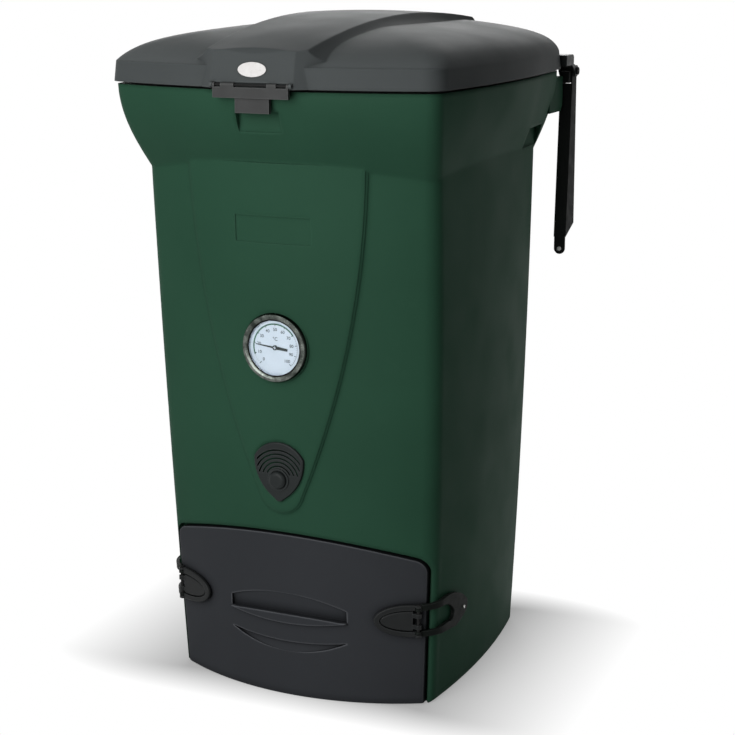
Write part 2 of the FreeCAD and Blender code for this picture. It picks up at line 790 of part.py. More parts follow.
# Aeration grate on four short feet above the liner's floor
def floor_grate():
    plan = liner_plan(GRATE_Z)
    inset = LINER_WALL + GRATE_MARGIN
    plate = prism(ring(plan, GRATE_Z, inset), V(0, 0, GRATE_T))
    reach_x = plan.half_w - inset - GRATE_PITCH / 2
    reach_y = plan.rear - inset - GRATE_PITCH / 2
    columns = int(reach_x / GRATE_PITCH)
    rows = int(reach_y / GRATE_PITCH)
    holes = []
    for i in range(-columns, columns + 1):
        for j in range(-rows, rows + 1):
            x = i * GRATE_PITCH
            y = j * GRATE_PITCH
            holes.append(block(x - GRATE_HOLE / 2, x + GRATE_HOLE / 2, y - GRATE_HOLE, y + GRATE_HOLE,
                               GRATE_Z - OVERCUT, GRATE_Z + GRATE_T + OVERCUT))
    plate = plate.cut(Part.makeCompound(holes))
    foot_x = (columns - 0.5) * GRATE_PITCH
    foot_y = (rows - 0.5) * GRATE_PITCH
    floor_z = LINER_FLOOR_Z + LINER_WALL + SEAT_GAP
    for x in (-foot_x, foot_x):
        for y in (-foot_y, foot_y):
            plate = plate.fuse(rod(GRATE_FOOT_R, V(x, y, floor_z), V(x, y, GRATE_Z)))
    return plate


def drain_spout():
    start = V(0, DRAIN_START_Y + LINER_WALL + SEAT_GAP, DRAIN_Z)
    end = V(0, DRAIN_END_Y, DRAIN_Z)
    tube = rod(DRAIN_R + DRAIN_WALL, start, end)
    return tube.cut(rod(DRAIN_R, V(0, 0, DRAIN_Z), V(0, DRAIN_END_Y + OVERCUT, DRAIN_Z)))


def drain_cap():
    start_y = DRAIN_END_Y - DRAIN_CAP_LENGTH
    end_y = DRAIN_END_Y + SEAT_GAP + DRAIN_CAP_END
    cap = rod(DRAIN_CAP_R + DRAIN_WALL, V(0, start_y, DRAIN_Z), V(0, end_y, DRAIN_Z))
    inner = rod(DRAIN_R + DRAIN_WALL + PIN_CLEAR, V(0, 0, DRAIN_Z), V(0, DRAIN_END_Y + SEAT_GAP, DRAIN_Z))
    cap = cap.cut(inner)
    grip = block(-DRAIN_CAP_GRIP_T / 2, DRAIN_CAP_GRIP_T / 2, end_y, end_y + DRAIN_CAP_GRIP,
                 DRAIN_Z - DRAIN_R, DRAIN_Z + DRAIN_R)
    return cap.fuse(grip)


# Thermometer: a steel case in a pocket, a bezel, a glass, a dial, a needle on its arbor, a probe
def thermometer_case():
    seat = V(0, THERMO_SEAT_Y - SEAT_GAP, THERMO_Z)
    rim = V(0, THERMO_FACE_Y, THERMO_Z)
    cup = rod(THERMO_CASE_R, seat, rim)
    hollow = rod(THERMO_CASE_R - THERMO_CASE_WALL, V(0, seat.y - THERMO_CASE_WALL, THERMO_Z),
                 V(0, rim.y - OVERCUT, THERMO_Z))
    return cup.cut(hollow).cut(thermo_probe_hole(PROBE_R + PIN_CLEAR))


def thermometer_dial():
    back = V(0, THERMO_DIAL_Y + DIAL_T, THERMO_Z)
    front = V(0, THERMO_DIAL_Y, THERMO_Z)
    disc = rod(THERMO_DIAL_R, back, front)
    return disc.cut(rod(ARBOR_R + PIN_CLEAR, V(0, back.y + OVERCUT, THERMO_Z),
                        V(0, front.y - OVERCUT, THERMO_Z)))


def thermometer_bezel():
    back = THERMO_FACE_Y - SEAT_GAP
    profile = [
        (THERMO_CASE_R - THERMO_CASE_WALL, back),
        (THERMO_R, back),
        (THERMO_R, back - BEZEL_STEP),
        (THERMO_R - BEZEL_BEVEL, THERMO_FRONT_Y),
        (THERMO_R - BEZEL_LIP, THERMO_FRONT_Y),
        (THERMO_FACE_R, THERMO_GLASS_Y - SEAT_GAP),
        (THERMO_CASE_R - THERMO_CASE_WALL, THERMO_GLASS_Y - SEAT_GAP),
    ]
    wire = polygon([V(r, y, THERMO_Z) for r, y in profile])
    return Part.Face(wire).revolve(V(0, 0, THERMO_Z), V(0, 1, 0), 360)


def thermometer_glass():
    return rod(THERMO_DIAL_R, V(0, THERMO_GLASS_Y + GLASS_T, THERMO_Z), V(0, THERMO_GLASS_Y, THERMO_Z))


# A clear spacer ring carries the glass on the dial
def thermometer_spacer():
    start = V(0, THERMO_DIAL_Y, THERMO_Z)
    end = V(0, THERMO_GLASS_Y + GLASS_T, THERMO_Z)
    tube = rod(THERMO_DIAL_R, start, end)
    return tube.cut(rod(THERMO_DIAL_R - SPACER_WALL, V(0, 0, THERMO_Z), V(0, FAR_FRONT, THERMO_Z)))


def thermometer_needle():
    y = THERMO_DIAL_Y - NEEDLE_LIFT
    blade = Part.Face(polygon([
        V(NEEDLE_LENGTH, y, 0),
        V(0, y, NEEDLE_HALF_W),
        V(-NEEDLE_TAIL, y, NEEDLE_TAIL_HALF_W),
        V(-NEEDLE_TAIL, y, -NEEDLE_TAIL_HALF_W),
        V(0, y, -NEEDLE_HALF_W),
    ])).extrude(V(0, -NEEDLE_T, 0))
    hub = rod(NEEDLE_HUB_R, V(0, y, 0), V(0, y - NEEDLE_HUB_T, 0))
    arbor = rod(ARBOR_R, V(0, THERMO_DIAL_Y + DIAL_T + ARBOR_BACK, 0), V(0, y, 0))
    needle = blade.fuse(hub).fuse(arbor)
    needle.rotate(V(0, 0, 0), V(0, -1, 0), NEEDLE_REST_DEG)
    needle.translate(V(0, 0, THERMO_Z))
    return needle


def thermometer_probe():
    head_y = THERMO_SEAT_Y - SEAT_GAP - THERMO_CASE_WALL
    stem = rod(PROBE_R, V(0, head_y, THERMO_Z), V(0, PROBE_TIP_Y, THERMO_Z))
    collar = thermo_disc(PROBE_COLLAR_R, head_y - PROBE_COLLAR_T, head_y)
    return stem.fuse(collar)


# Air vent: a ribbed cover over a duct through the wall, with a knob that turns a shutter
def vent_hole(radius, y0, y1, x=0.0, z=0.0):
    return rod(radius, V(x, y0, VENT_Z + z), V(x, y1, VENT_Z + z))


def vent_cover():
    back_y = VENT_SEAT_Y - SEAT_GAP
    cover = prism(vent_wire(back_y), V(0, VENT_FRONT_Y - back_y, 0))
    rim = [e for e in cover.Edges if abs(e.BoundBox.YMin - VENT_FRONT_Y) < 0.01 and e.BoundBox.YLength < 0.01]
    cover = cover.makeFillet(VENT_EDGE_R, rim)
    inner_y = VENT_FRONT_Y + VENT_WALL
    room = prism(vent_wire(back_y + OVERCUT, -VENT_WALL), V(0, inner_y - back_y - OVERCUT, 0))
    cover = cover.cut(room)
    window = prism(vent_wire(0, -VENT_SLOT_MARGIN), V(0, FAR_FRONT, 0))
    upper = block(-VENT_HALF_W, VENT_HALF_W, FAR_FRONT, 0, VENT_Z + VENT_RING_R / 2, VENT_CROWN_Z)
    for i in range(VENT_RIBS):
        radius = VENT_RING_R + VENT_SLOT + i * VENT_RIB_PITCH
        slot = vent_hole(radius + VENT_SLOT, 0, FAR_FRONT)
        slot = slot.cut(vent_hole(radius, OVERCUT, FAR_FRONT - OVERCUT))
        cover = cover.cut(slot.common(window).common(upper))
    collar = vent_hole(VENT_RING_R, inner_y, VENT_FRONT_Y - VENT_RING_PROUD)
    collar = collar.cut(vent_hole(VENT_KNOB_R + KNUCKLE_GAP, VENT_FRONT_Y, FAR_FRONT))
    return cover.fuse(collar).cut(vent_hole(VENT_STEM_R + PIN_CLEAR, 0, FAR_FRONT))


def vent_knob():
    start_y = VENT_SEAT_Y - SEAT_GAP - SHUTTER_T
    base_y = VENT_FRONT_Y - KNUCKLE_GAP
    front_y = base_y - VENT_KNOB_PROUD
    dome = vent_hole(VENT_KNOB_R, base_y, front_y)
    fronts = [edge for edge in dome.Edges if edge.BoundBox.YMax < front_y + OVERCUT]
    rim = [edge for edge in fronts if edge.BoundBox.XLength > OVERCUT]
    dome = dome.makeFillet(VENT_KNOB_ROUND, rim)
    return dome.fuse(vent_hole(VENT_STEM_R, start_y, base_y))


def vent_shutter():
    start_y = VENT_SEAT_Y - SEAT_GAP
    disc = vent_hole(SHUTTER_R, start_y, start_y - SHUTTER_T)
    for side in (-1, 1):
        disc = disc.cut(vent_hole(VENT_PORT_R, 0, FAR_FRONT, side * VENT_PORT_REACH))
    return disc


def vent_duct():
    end_y = liner_plan(VENT_Z).front_y(0) + LINER_WALL + VENT_DUCT_WALL
    tube = vent_hole(VENT_DUCT_R + VENT_DUCT_WALL, VENT_SEAT_Y, end_y)
    tube = tube.cut(vent_hole(VENT_DUCT_R, VENT_SEAT_Y + VENT_DUCT_WALL, 0))
    for side in (-1, 1):
        tube = tube.cut(vent_hole(VENT_PORT_R, FAR_FRONT, 0, 0, side * VENT_PORT_REACH))
    return tube


def vent_inner_grille():
    start_y = liner_plan(VENT_Z).front_y(0) + LINER_WALL + VENT_DUCT_WALL + SEAT_GAP
    disc = vent_hole(VENT_DUCT_R + 2 * VENT_DUCT_WALL, start_y, start_y + VENT_DUCT_WALL)
    for i in range(-2, 3):
        x = i * VENT_GRILLE_PITCH
        half = math.sqrt(VENT_DUCT_R ** 2 - x ** 2) - OVERCUT
        disc = disc.cut(block(x - VENT_SLOT / 2, x + VENT_SLOT / 2, FAR_FRONT, 0,
                              VENT_Z - half, VENT_Z + half))
    return disc


# Emptying hatch, lifted straight off to the front
def lens_prism(half_w, end_z, top_z, low_z):
    left = V(-half_w, FAR_FRONT, end_z)
    right = V(half_w, FAR_FRONT, end_z)
    top = V(0, FAR_FRONT, top_z)
    low = V(0, FAR_FRONT, low_z)
    return prism(Part.Wire([arc(left, top, right), arc(right, low, left)]), V(0, -FAR_FRONT, 0))


def hatch_block(inset):
    return front_block(inset, FRONT_LOW, HATCH_LEVEL_HIGH)


# Everything behind a surface that sinks into the hatch, by low_inset at its foot and high_inset at its head
def sloped_block(low_z, low_inset, high_z, high_inset):
    wires = []
    for z, inset in ((low_z, low_inset), (high_z, high_inset)):
        plan = body_plan(z)
        side_y = plan.front_y(FRONT_REACH, inset)
        left = V(-FRONT_REACH, side_y, z)
        right = V(FRONT_REACH, side_y, z)
        back_right = V(FRONT_REACH, 0, z)
        back_left = V(-FRONT_REACH, 0, z)
        wires.append(Part.Wire([
            arc(left, V(0, -plan.front + inset, z), right),
            line(right, back_right),
            line(back_right, back_left),
            line(back_left, left),
        ]))
    return Part.makeLoft(wires, True, True)


def finger_hollow():
    left = V(-HANDLE_HALF_W, FAR_FRONT, HANDLE_END_Z)
    right = V(HANDLE_HALF_W, FAR_FRONT, HANDLE_END_Z)
    low_left = V(-HANDLE_HALF_W, FAR_FRONT, LIP_END_Z)
    low_right = V(HANDLE_HALF_W, FAR_FRONT, LIP_END_Z)
    wire = Part.Wire([
        arc(left, V(0, FAR_FRONT, HANDLE_TOP_Z), right),
        line(right, low_right),
        line(low_right, low_left),
        line(low_left, left),
    ])
    hollow = prism(wire, V(0, -FAR_FRONT, 0))
    return hollow.cut(sloped_block(LIP_LOW_Z, HANDLE_SINK, HANDLE_START_Z, 0.0))


def hatch_outer_panel():
    panel = hatch_prism(0.0).common(skin_volume()).cut(hatch_block(PANEL_THICKNESS))
    scoop = lens_prism(HANDLE_HALF_W, SCOOP_END_Z, SCOOP_TOP_Z, SCOOP_LOW_Z)
    scoop = scoop.cut(sloped_block(SCOOP_LOW_Z - OVERCUT, 0.0, SCOOP_END_Z + OVERCUT, SCOOP_SINK))
    panel = panel.cut(finger_hollow()).cut(scoop)
    lip = lens_prism(LIP_HALF_W, LIP_END_Z, LIP_TOP_Z, LIP_LOW_Z)
    lip = lip.common(hatch_block(-LIP_PROUD)).cut(hatch_block(PANEL_THICKNESS))
    return panel.fuse(lip)


def plug_slice(grow, front_inset, back_inset):
    solid = door_prism(grow, FAR_FRONT, 0)
    return solid.common(hatch_block(front_inset)).cut(hatch_block(back_inset))


def hatch_inner_tray():
    tray = plug_slice(-PLUG_GAP, PANEL_THICKNESS + SEAT_GAP, PLUG_DEPTH)
    core = plug_slice(-PLUG_GAP - PLUG_WALL, PANEL_THICKNESS, PLUG_DEPTH - PLUG_WALL)
    return tray.cut(core)


def hatch_insulation():
    return plug_slice(-PLUG_GAP - PLUG_WALL - SEAT_GAP, PANEL_THICKNESS + SEAT_GAP,
                      PLUG_DEPTH - PLUG_WALL - SEAT_GAP)


def hatch_seal():
    seal = plug_slice(PLUG_GAP + HATCH_SEAL_WIDTH, PANEL_THICKNESS + SEAT_GAP, RABBET - SEAT_GAP)
    return seal.cut(door_prism(PLUG_GAP, FAR_FRONT, 0))


# Side latches: everything is drawn on the right and mirrored for the left
LATCH_PLAN = body_plan(LATCH_MID_Z)
LATCH_NOSE_X = LATCH_PIN_X - LATCH_CENTRE_U - LATCH_HALF_LONG
LATCH_PIN_TURN = math.asin(LATCH_PIN_X / LATCH_PLAN.front_r)
LATCH_TURN = (LATCH_PIN_TURN + math.asin(LATCH_NOSE_X / LATCH_PLAN.front_r)) / 2
LATCH_P = V(
    LATCH_PIN_X + LATCH_PIN_OUT * math.sin(LATCH_PIN_TURN),
    LATCH_PLAN.front_y(LATCH_PIN_X) - LATCH_PIN_OUT * math.cos(LATCH_PIN_TURN),
    LATCH_MID_Z,
)
LATCH_BACK_V = LATCH_STAND - LATCH_PIN_OUT
LATCH_FRONT_V = LATCH_BACK_V + LATCH_THICK
STRAND_TOP = LATCH_HALF_H * math.sqrt(1 - (LATCH_CENTRE_U / LATCH_HALF_LONG) ** 2)
STRAND_LOW = STRAND_TOP - LATCH_BAND
LEVER_KNUCKLE_LOW = STRAND_TOP - KNUCKLE_H
LINK_KNUCKLE_TOP = STRAND_LOW + KNUCKLE_H


# A lens seen from the front, cut off at start_u: u runs from the pin to the nose, h up from the middle
def lens_wire(half_long, half_h, start_u):
    reach = (start_u - LATCH_CENTRE_U) / half_long
    ellipse = Part.Ellipse(V(-LATCH_CENTRE_U, 0, 0), half_long, half_h)
    turn = math.acos(-reach)
    edge = Part.ArcOfEllipse(ellipse, turn, 2 * math.pi - turn).toShape()
    return Part.Wire([edge, line(edge.Vertexes[-1].Point, edge.Vertexes[0].Point)])


# v runs outward from the hatch
def stand_on_hatch(wire, v0, v1):
    wire.translate(V(0, 0, v0))
    solid = prism(wire, V(0, 0, v1 - v0))
    solid.rotate(V(0, 0, 0), V(1, 0, 0), 90)
    solid.rotate(V(0, 0, 0), V(0, 0, 1), math.degrees(LATCH_TURN))
    solid.translate(LATCH_P)
    return solid


def plate_wire(u0, u1, h0, h1):
    return polygon([V(-u0, h0, 0), V(-u1, h0, 0), V(-u1, h1, 0), V(-u0, h1, 0)])


def upright(radius, h0, h1):
    return rod(radius, LATCH_P.add(V(0, 0, h0)), LATCH_P.add(V(0, 0, h1)))


def uprights(radius, h0, h1):
    return upright(radius, h0, h1).fuse(upright(radius, -h1, -h0))


def latch_lever():
    lever = stand_on_hatch(lens_wire(LATCH_HALF_LONG, LATCH_HALF_H, 0.0), LATCH_BACK_V, LATCH_FRONT_V)
    front = [edge for edge in lever.Edges if edge.Curve.TypeId == "Part::GeomEllipse"]
    lever = lever.makeFillet(LATCH_ROUND, front)
    window = stand_on_hatch(lens_wire(LATCH_HALF_LONG - LATCH_BAND, LATCH_HALF_H - LATCH_BAND, 0.0),
                            LATCH_BACK_V - LATCH_THICK, LATCH_FRONT_V + LATCH_THICK)
    root = stand_on_hatch(plate_wire(-2 * HUB_R, ROOT_OVERLAP, -STRAND_LOW, STRAND_LOW),
                          LATCH_BACK_V - LATCH_THICK, LATCH_FRONT_V + LATCH_THICK)
    lever = lever.cut(window).cut(root)
    lever = lever.cut(uprights(HUB_R + KNUCKLE_GAP, 0, LEVER_KNUCKLE_LOW))
    lever = lever.fuse(uprights(HUB_R, LEVER_KNUCKLE_LOW, STRAND_TOP))
    return lever.cut(upright(LATCH_PIN_R + PIN_CLEAR, -LATCH_MID_Z, LATCH_MID_Z))


def side_point(pair):
    return V(0, pair[0], pair[1])


def link_outline():
    top = V(0, LINK_START_Y, LATCH_MID_Z + STRAND_TOP)
    low = V(0, LINK_START_Y, LATCH_MID_Z - STRAND_TOP)
    return Part.Wire([
        line(top, side_point(LINK_TOP)),
        arc(side_point(LINK_TOP), side_point(LINK_TOP_BEND), side_point(LINK_REAR_TOP)),
        arc(side_point(LINK_REAR_TOP), side_point(LINK_REAR), side_point(LINK_REAR_LOW)),
        arc(side_point(LINK_REAR_LOW), side_point(LINK_LOW_BEND), side_point(LINK_LOW)),
        line(side_point(LINK_LOW), side_point(LINK_LOW_FRONT)),
        line(side_point(LINK_LOW_FRONT), low),
        line(low, top),
    ])


def link_window():
    top = V(0, LINK_START_Y - OVERCUT, LATCH_MID_Z + STRAND_LOW)
    low = V(0, LINK_START_Y - OVERCUT, LATCH_MID_Z - STRAND_LOW)
    return Part.Wire([
        line(top, side_point(LINK_WINDOW_TOP)),
        arc(side_point(LINK_WINDOW_TOP), side_point(LINK_WINDOW_BEND), side_point(LINK_WINDOW_REAR)),
        arc(side_point(LINK_WINDOW_REAR), side_point(LINK_WINDOW_REAR_MID), side_point(LINK_WINDOW_REAR_LOW)),
        line(side_point(LINK_WINDOW_REAR_LOW), side_point(LINK_WINDOW_LOW)),
        line(side_point(LINK_WINDOW_LOW), low),
        line(low, top),
    ])


# The link hugs the body's corner and ends in an eye over the side catch
def latch_link():
    reach = V(FRONT_REACH, 0, 0)
    loop = prism(link_outline(), reach).cut(prism(link_window(), reach))
    band = body_core(-LINK_OFF_WALL - LINK_THICK, FOOT_CHAMFER).cut(body_core(-LINK_OFF_WALL, FOOT_CHAMFER))
    link = loop.common(band).common(block(LATCH_P.x, reach.x, LINK_START_Y, 0, 0, NECK_Z))
    link = link.cut(uprights(HUB_R + KNUCKLE_GAP, LINK_KNUCKLE_TOP, LATCH_MID_Z))
    link = link.fuse(uprights(HUB_R, STRAND_LOW, LINK_KNUCKLE_TOP))
    return link.cut(upright(LATCH_PIN_R + PIN_CLEAR, -LATCH_MID_Z, LATCH_MID_Z))


CATCH_WALL_X = body_plan(CATCH_Z).side_x(CATCH_Y)
CATCH_FACE_X = CATCH_WALL_X + LINK_OFF_WALL + LINK_THICK


def link_rivet():
    return rod(RIVET_R, V(CATCH_FACE_X + SEAT_GAP, CATCH_Y, CATCH_Z),
               V(CATCH_FACE_X + SEAT_GAP + RIVET_HEAD, CATCH_Y, CATCH_Z))


def side_catch():
    pad = rod(CATCH_PAD_R, V(0, CATCH_Y, CATCH_Z), V(CATCH_FACE_X, CATCH_Y, CATCH_Z))
    pad = pad.common(body_core(KNUCKLE_GAP - LINK_OFF_WALL, FOOT_CHAMFER))
    return pad.cut(body_core(-SEAT_GAP, FOOT_CHAMFER))


def latch_block():
    leaf = stand_on_hatch(lens_wire(LATCH_HALF_LONG - LATCH_BAND - LEAF_GAP, LEAF_HALF_H, LEAF_START_U),
                          -LATCH_PIN_OUT - LEAF_SINK, LATCH_FRONT_V)
    front = [edge for edge in leaf.Edges if edge.Curve.TypeId == "Part::GeomEllipse"]
    leaf = leaf.makeFillet(LEAF_ROUND, front)
    for h0 in (-EAR_HIGH, EAR_LOW):
        ear = stand_on_hatch(plate_wire(0.0, LEAF_START_U + ROOT_OVERLAP, h0, h0 + EAR_HIGH - EAR_LOW),
                             -LATCH_PIN_OUT - LEAF_SINK, HUB_R - LATCH_STAND)
        leaf = leaf.fuse(ear).fuse(upright(HUB_R, h0, h0 + EAR_HIGH - EAR_LOW))
    leaf = leaf.cut(hatch_block(-SEAT_GAP / 2))
    return leaf.cut(upright(LATCH_PIN_R, -LATCH_MID_Z, LATCH_MID_Z))


def latch_pin():
    return upright(LATCH_PIN_R, -STRAND_TOP - LATCH_PIN_END, STRAND_TOP + LATCH_PIN_END)


# Lid: a skirt, a domed top and a raised ridge from front to back
def lid_plan(inset, corner):
    return Plan(LID_HALF_W - inset, LID_FRONT - inset, LID_FRONT_R, LID_REAR - inset, REAR_R,
                LID_SIDE_BULGE, corner)


# How far in from the skirt the dome stands at a share of its rise: steep at the skirt, flat at the top
def dome_spread(rise, start_deg, reach):
    start = math.radians(start_deg)
    turn = math.asin(min(1.0, lerp(math.sin(start), 1.0, rise)))
    return lerp(SKIRT_DRAFT, reach, 1 - math.cos(turn) / math.cos(start))


# The dome is long and low at the front, and stands fuller towards the back
def dome_ring(step, wall):
    rise = math.sin(math.pi / 2 * step / (DOME_STEPS - 1))
    front = dome_spread(rise, DOME_FRONT_START, DOME_FRONT_REACH) + wall
    side = dome_spread(rise, DOME_SIDE_START, DOME_SIDE_REACH) + wall
    rear = dome_spread(rise, DOME_REAR_START, DOME_REAR_REACH) + wall
    z = lerp(SKIRT_HIGH_Z, DOME_TOP_Z, rise) - wall * rise
    plan = Plan(LID_HALF_W - side, LID_FRONT - front, LID_FRONT_R, LID_REAR - rear, REAR_R,
                LID_SIDE_BULGE, LID_CORNER + LID_CORNER_GROWTH * side)
    return ring(plan, z)


# A flat crown with a hollow slope down to each foot, where it runs into the dome
def ridge_section(y, top_z, half, foot, foot_z, wall):
    top = V(half - wall, y, top_z - wall)
    end = V(half + foot - wall, y, foot_z - wall)
    sag = top.add(end) * 0.5
    sag.z = sag.z - RIDGE_SLOPE_SAG * foot / RIDGE_MID_FOOT
    base = V(end.x, y, RIDGE_BASE_Z)

    def flip(p):
        return V(-p.x, p.y, p.z)

    return Part.Wire([
        line(flip(base), flip(end)),
        arc(flip(end), flip(sag), flip(top)),
        arc(flip(top), V(0, y, top.z + RIDGE_CROWN), top),
        arc(top, sag, end),
        line(end, base),
        line(base, flip(base)),
    ])


def ridge_slab(points, side):
    return prism(polygon([V(-side, y, z) for y, z in points]), V(2 * side, 0, 0))


# Upright bevels at the sides of the ridge's front, which lean back with it
def ridge_corner(front, wall):
    height = RIDGE_TOOL_Z - RIDGE_BASE_Z
    lean = RIDGE_LEAN * height / (RIDGE_FRONT_Z - RIDGE_BASE_Z)
    inner = RIDGE_FACE_HALF - wall
    wide = RIDGE_BEVEL_W * RIDGE_BEVEL_REACH
    deep = RIDGE_BEVEL_Y * RIDGE_BEVEL_REACH
    wire = polygon([
        V(inner, front, RIDGE_BASE_Z),
        V(inner + wide, front + deep, RIDGE_BASE_Z),
        V(inner + wide, FAR_FRONT, RIDGE_BASE_Z),
        V(inner, FAR_FRONT, RIDGE_BASE_Z),
    ])
    return prism(wire, V(0, lean, height))


def ridge_volume(wall):
    front = -LID_FRONT - RIDGE_PROUD + wall
    sections = [
        ridge_section(front - RIDGE_LEAN, RIDGE_FRONT_Z - RIDGE_CROWN, RIDGE_FRONT_HALF,
                      RIDGE_FRONT_FOOT, RIDGE_FRONT_FOOT_Z, wall),
        ridge_section(RIDGE_QUARTER_Y, RIDGE_QUARTER_Z, RIDGE_QUARTER_HALF, RIDGE_QUARTER_FOOT,
                      RIDGE_QUARTER_FOOT_Z, wall),
        ridge_section(RIDGE_MID_Y, RIDGE_MID_Z, RIDGE_MID_HALF, RIDGE_MID_FOOT, RIDGE_MID_FOOT_Z, wall),
        ridge_section(RIDGE_REAR_Y - wall, RIDGE_REAR_Z, RIDGE_REAR_HALF, RIDGE_REAR_FOOT,
                      RIDGE_REAR_FOOT_Z, wall),
    ]
    solid = Part.makeLoft(sections, True, False)
    side = 2 * RIDGE_REAR_HALF
    lean_high = front + RIDGE_LEAN * (RIDGE_TOOL_Z - RIDGE_BASE_Z) / (RIDGE_FRONT_Z - RIDGE_BASE_Z)
    wedge = ridge_slab([
        (FAR_FRONT, RIDGE_BASE_Z - OVERCUT),
        (front, RIDGE_BASE_Z - OVERCUT),
        (front, RIDGE_BASE_Z),
        (lean_high, RIDGE_TOOL_Z),
        (FAR_FRONT, RIDGE_TOOL_Z),
    ], side)
    rear_bevel = ridge_slab([
        (RIDGE_REAR_Y - wall - RIDGE_REAR_BEVEL, RIDGE_REAR_Z + RIDGE_CROWN - wall),
        (RIDGE_REAR_Y - wall + OVERCUT, RIDGE_REAR_Z + RIDGE_CROWN - wall - RIDGE_REAR_BEVEL),
        (RIDGE_REAR_Y - wall + OVERCUT, RIDGE_TOOL_Z),
        (RIDGE_REAR_Y - wall - RIDGE_REAR_BEVEL, RIDGE_TOOL_Z),
    ], side)
    corner = ridge_corner(front, wall)
    return solid.cut(wedge).cut(rear_bevel).cut(corner).cut(mirrored(corner)).cut(brow_scoop(wall))


# The shallow round scoop that gives the front's upper edge its lens-shaped crease
def brow_scoop(wall):
    radius = (BROW_HALF_W ** 2 + BROW_DEPTH ** 2) / (2 * BROW_DEPTH)
    reach = (radius - BROW_DEPTH) * math.sqrt(0.5)
    slope = RIDGE_LEAN / (RIDGE_FRONT_Z - RIDGE_BASE_Z)
    edge_y = -LID_FRONT - RIDGE_PROUD + slope * (BROW_EDGE_Z - RIDGE_BASE_Z)
    centre = V(0, edge_y - reach, BROW_EDGE_Z + reach)
    return Part.makeSphere(radius + wall, centre)


def lid_volume(wall, low):
    top_inset = wall + SKIRT_DRAFT
    top_corner = LID_CORNER + LID_CORNER_GROWTH * top_inset
    skirt = Part.makeLoft([
        ring(lid_plan(wall, LID_CORNER), low),
        ring(lid_plan(top_inset, top_corner), SKIRT_HIGH_Z),
    ], True, True)
    dome = Part.makeLoft([dome_ring(step, wall) for step in range(DOME_STEPS)], True, False)
    return skirt.fuse(dome).fuse(ridge_volume(wall))


def latch_axis(radius, x0, x1):
    return rod(radius, V(x0, LID_LATCH_PIN_Y, LID_LATCH_PIN_Z), V(x1, LID_LATCH_PIN_Y, LID_LATCH_PIN_Z))


# The latch hangs in a notch under the ridge, between two ears of the lid
def latch_notch():
    half = LID_LATCH_BAR_HALF + LID_LATCH_CLEAR
    reach = LID_LATCH_KNUCKLE_R + LID_LATCH_CLEAR
    return block(-half, half, FAR_FRONT, LID_LATCH_PIN_Y + reach, SKIRT_LOW_Z - OVERCUT, LID_LATCH_PIN_Z + reach)


def lid_outer_shell():
    shell = lid_volume(0.0, SKIRT_LOW_Z).cut(lid_volume(LID_WALL, SKIRT_LOW_Z - OVERCUT))
    notch = latch_notch()
    wall = block(-LID_LATCH_BAR_HALF - LID_WALL, LID_LATCH_BAR_HALF + LID_WALL, FAR_FRONT, NOTCH_BACK_Y,
                 SKIRT_LOW_Z, LID_LATCH_PIN_Z + LID_LATCH_KNUCKLE_R + LID_WALL)
    shell = shell.fuse(wall.common(lid_volume(0.0, SKIRT_LOW_Z))).cut(notch)
    for side in (-1, 1):
        start = side * (LID_LATCH_BAR_HALF + LID_LATCH_CLEAR)
        end = start + side * LID_LATCH_EAR_T
        ear = latch_axis(LID_LATCH_EAR_R, start, end)
        low = LID_LATCH_PIN_Z - LID_LATCH_EAR_R
        ear = ear.fuse(block(min(start, end), max(start, end), LID_LATCH_PIN_Y, LID_EAR_BACK_Y, low,
                             LID_LATCH_PIN_Z + LID_LATCH_EAR_R))
        shell = shell.fuse(ear)
    shell = shell.cut(badge_solid())
    return shell.cut(latch_axis(LID_LATCH_PIN_R, -RIDGE_REAR_HALF, RIDGE_REAR_HALF))


NOTCH_BACK_Y = LID_LATCH_PIN_Y + LID_LATCH_KNUCKLE_R + LID_LATCH_CLEAR + LID_WALL
LID_EAR_BACK_Y = -LID_FRONT + OVERCUT


def badge_solid():
    slope = math.atan2(RIDGE_LEAN, RIDGE_FRONT_Z - RIDGE_BASE_Z)
    oval = Part.Ellipse(V(0, 0, 0), BADGE_HALF_W, BADGE_HALF_H).toShape()
    solid = prism(Part.Wire([oval]), V(0, 0, BADGE_T))
    solid.rotate(V(0, 0, 0), V(1, 0, 0), 90 - math.degrees(slope))
    y = -LID_FRONT - RIDGE_PROUD + math.tan(slope) * (BADGE_Z - RIDGE_BASE_Z)
    solid.translate(V(0, y + BADGE_T / 2, BADGE_Z))
    return solid


def lid_latch():
    bar_front = LID_LATCH_PIN_Y - LID_LATCH_KNUCKLE_R
    bar_back = LID_LATCH_PIN_Y + LID_LATCH_KNUCKLE_R
    half = LID_LATCH_BAR_HALF
    bar = latch_axis(LID_LATCH_KNUCKLE_R, -half, half)
    bar = bar.fuse(block(-half, half, bar_front, bar_back, LID_LATCH_BAR_LOW_Z, LID_LATCH_PIN_Z))
    tongue_front = LID_LATCH_TONGUE_BACK_Y - LID_LATCH_TONGUE_T
    tongue = block(-LID_LATCH_TONGUE_HALF, LID_LATCH_TONGUE_HALF, tongue_front, LID_LATCH_TONGUE_BACK_Y,
                   LID_LATCH_TONGUE_LOW_Z, SKIRT_LOW_Z - LID_LATCH_LAP)
    latch = bar.fuse(tongue)
    for start, end in LID_LATCH_SLOTS:
        latch = latch.cut(block(start, end, bar_front - OVERCUT, bar_back + OVERCUT,
                                LID_LATCH_PIN_Z - LID_LATCH_SLOT_DROP, LID_LATCH_PIN_Z + LID_LATCH_KNUCKLE_R + OVERCUT))
    return latch.cut(latch_axis(LID_LATCH_PIN_R + PIN_CLEAR, -half - OVERCUT, half + OVERCUT))


def lid_latch_pin():
    half = LID_LATCH_BAR_HALF + LID_LATCH_CLEAR + LID_LATCH_EAR_T
    return latch_axis(LID_LATCH_PIN_R, -half, half)


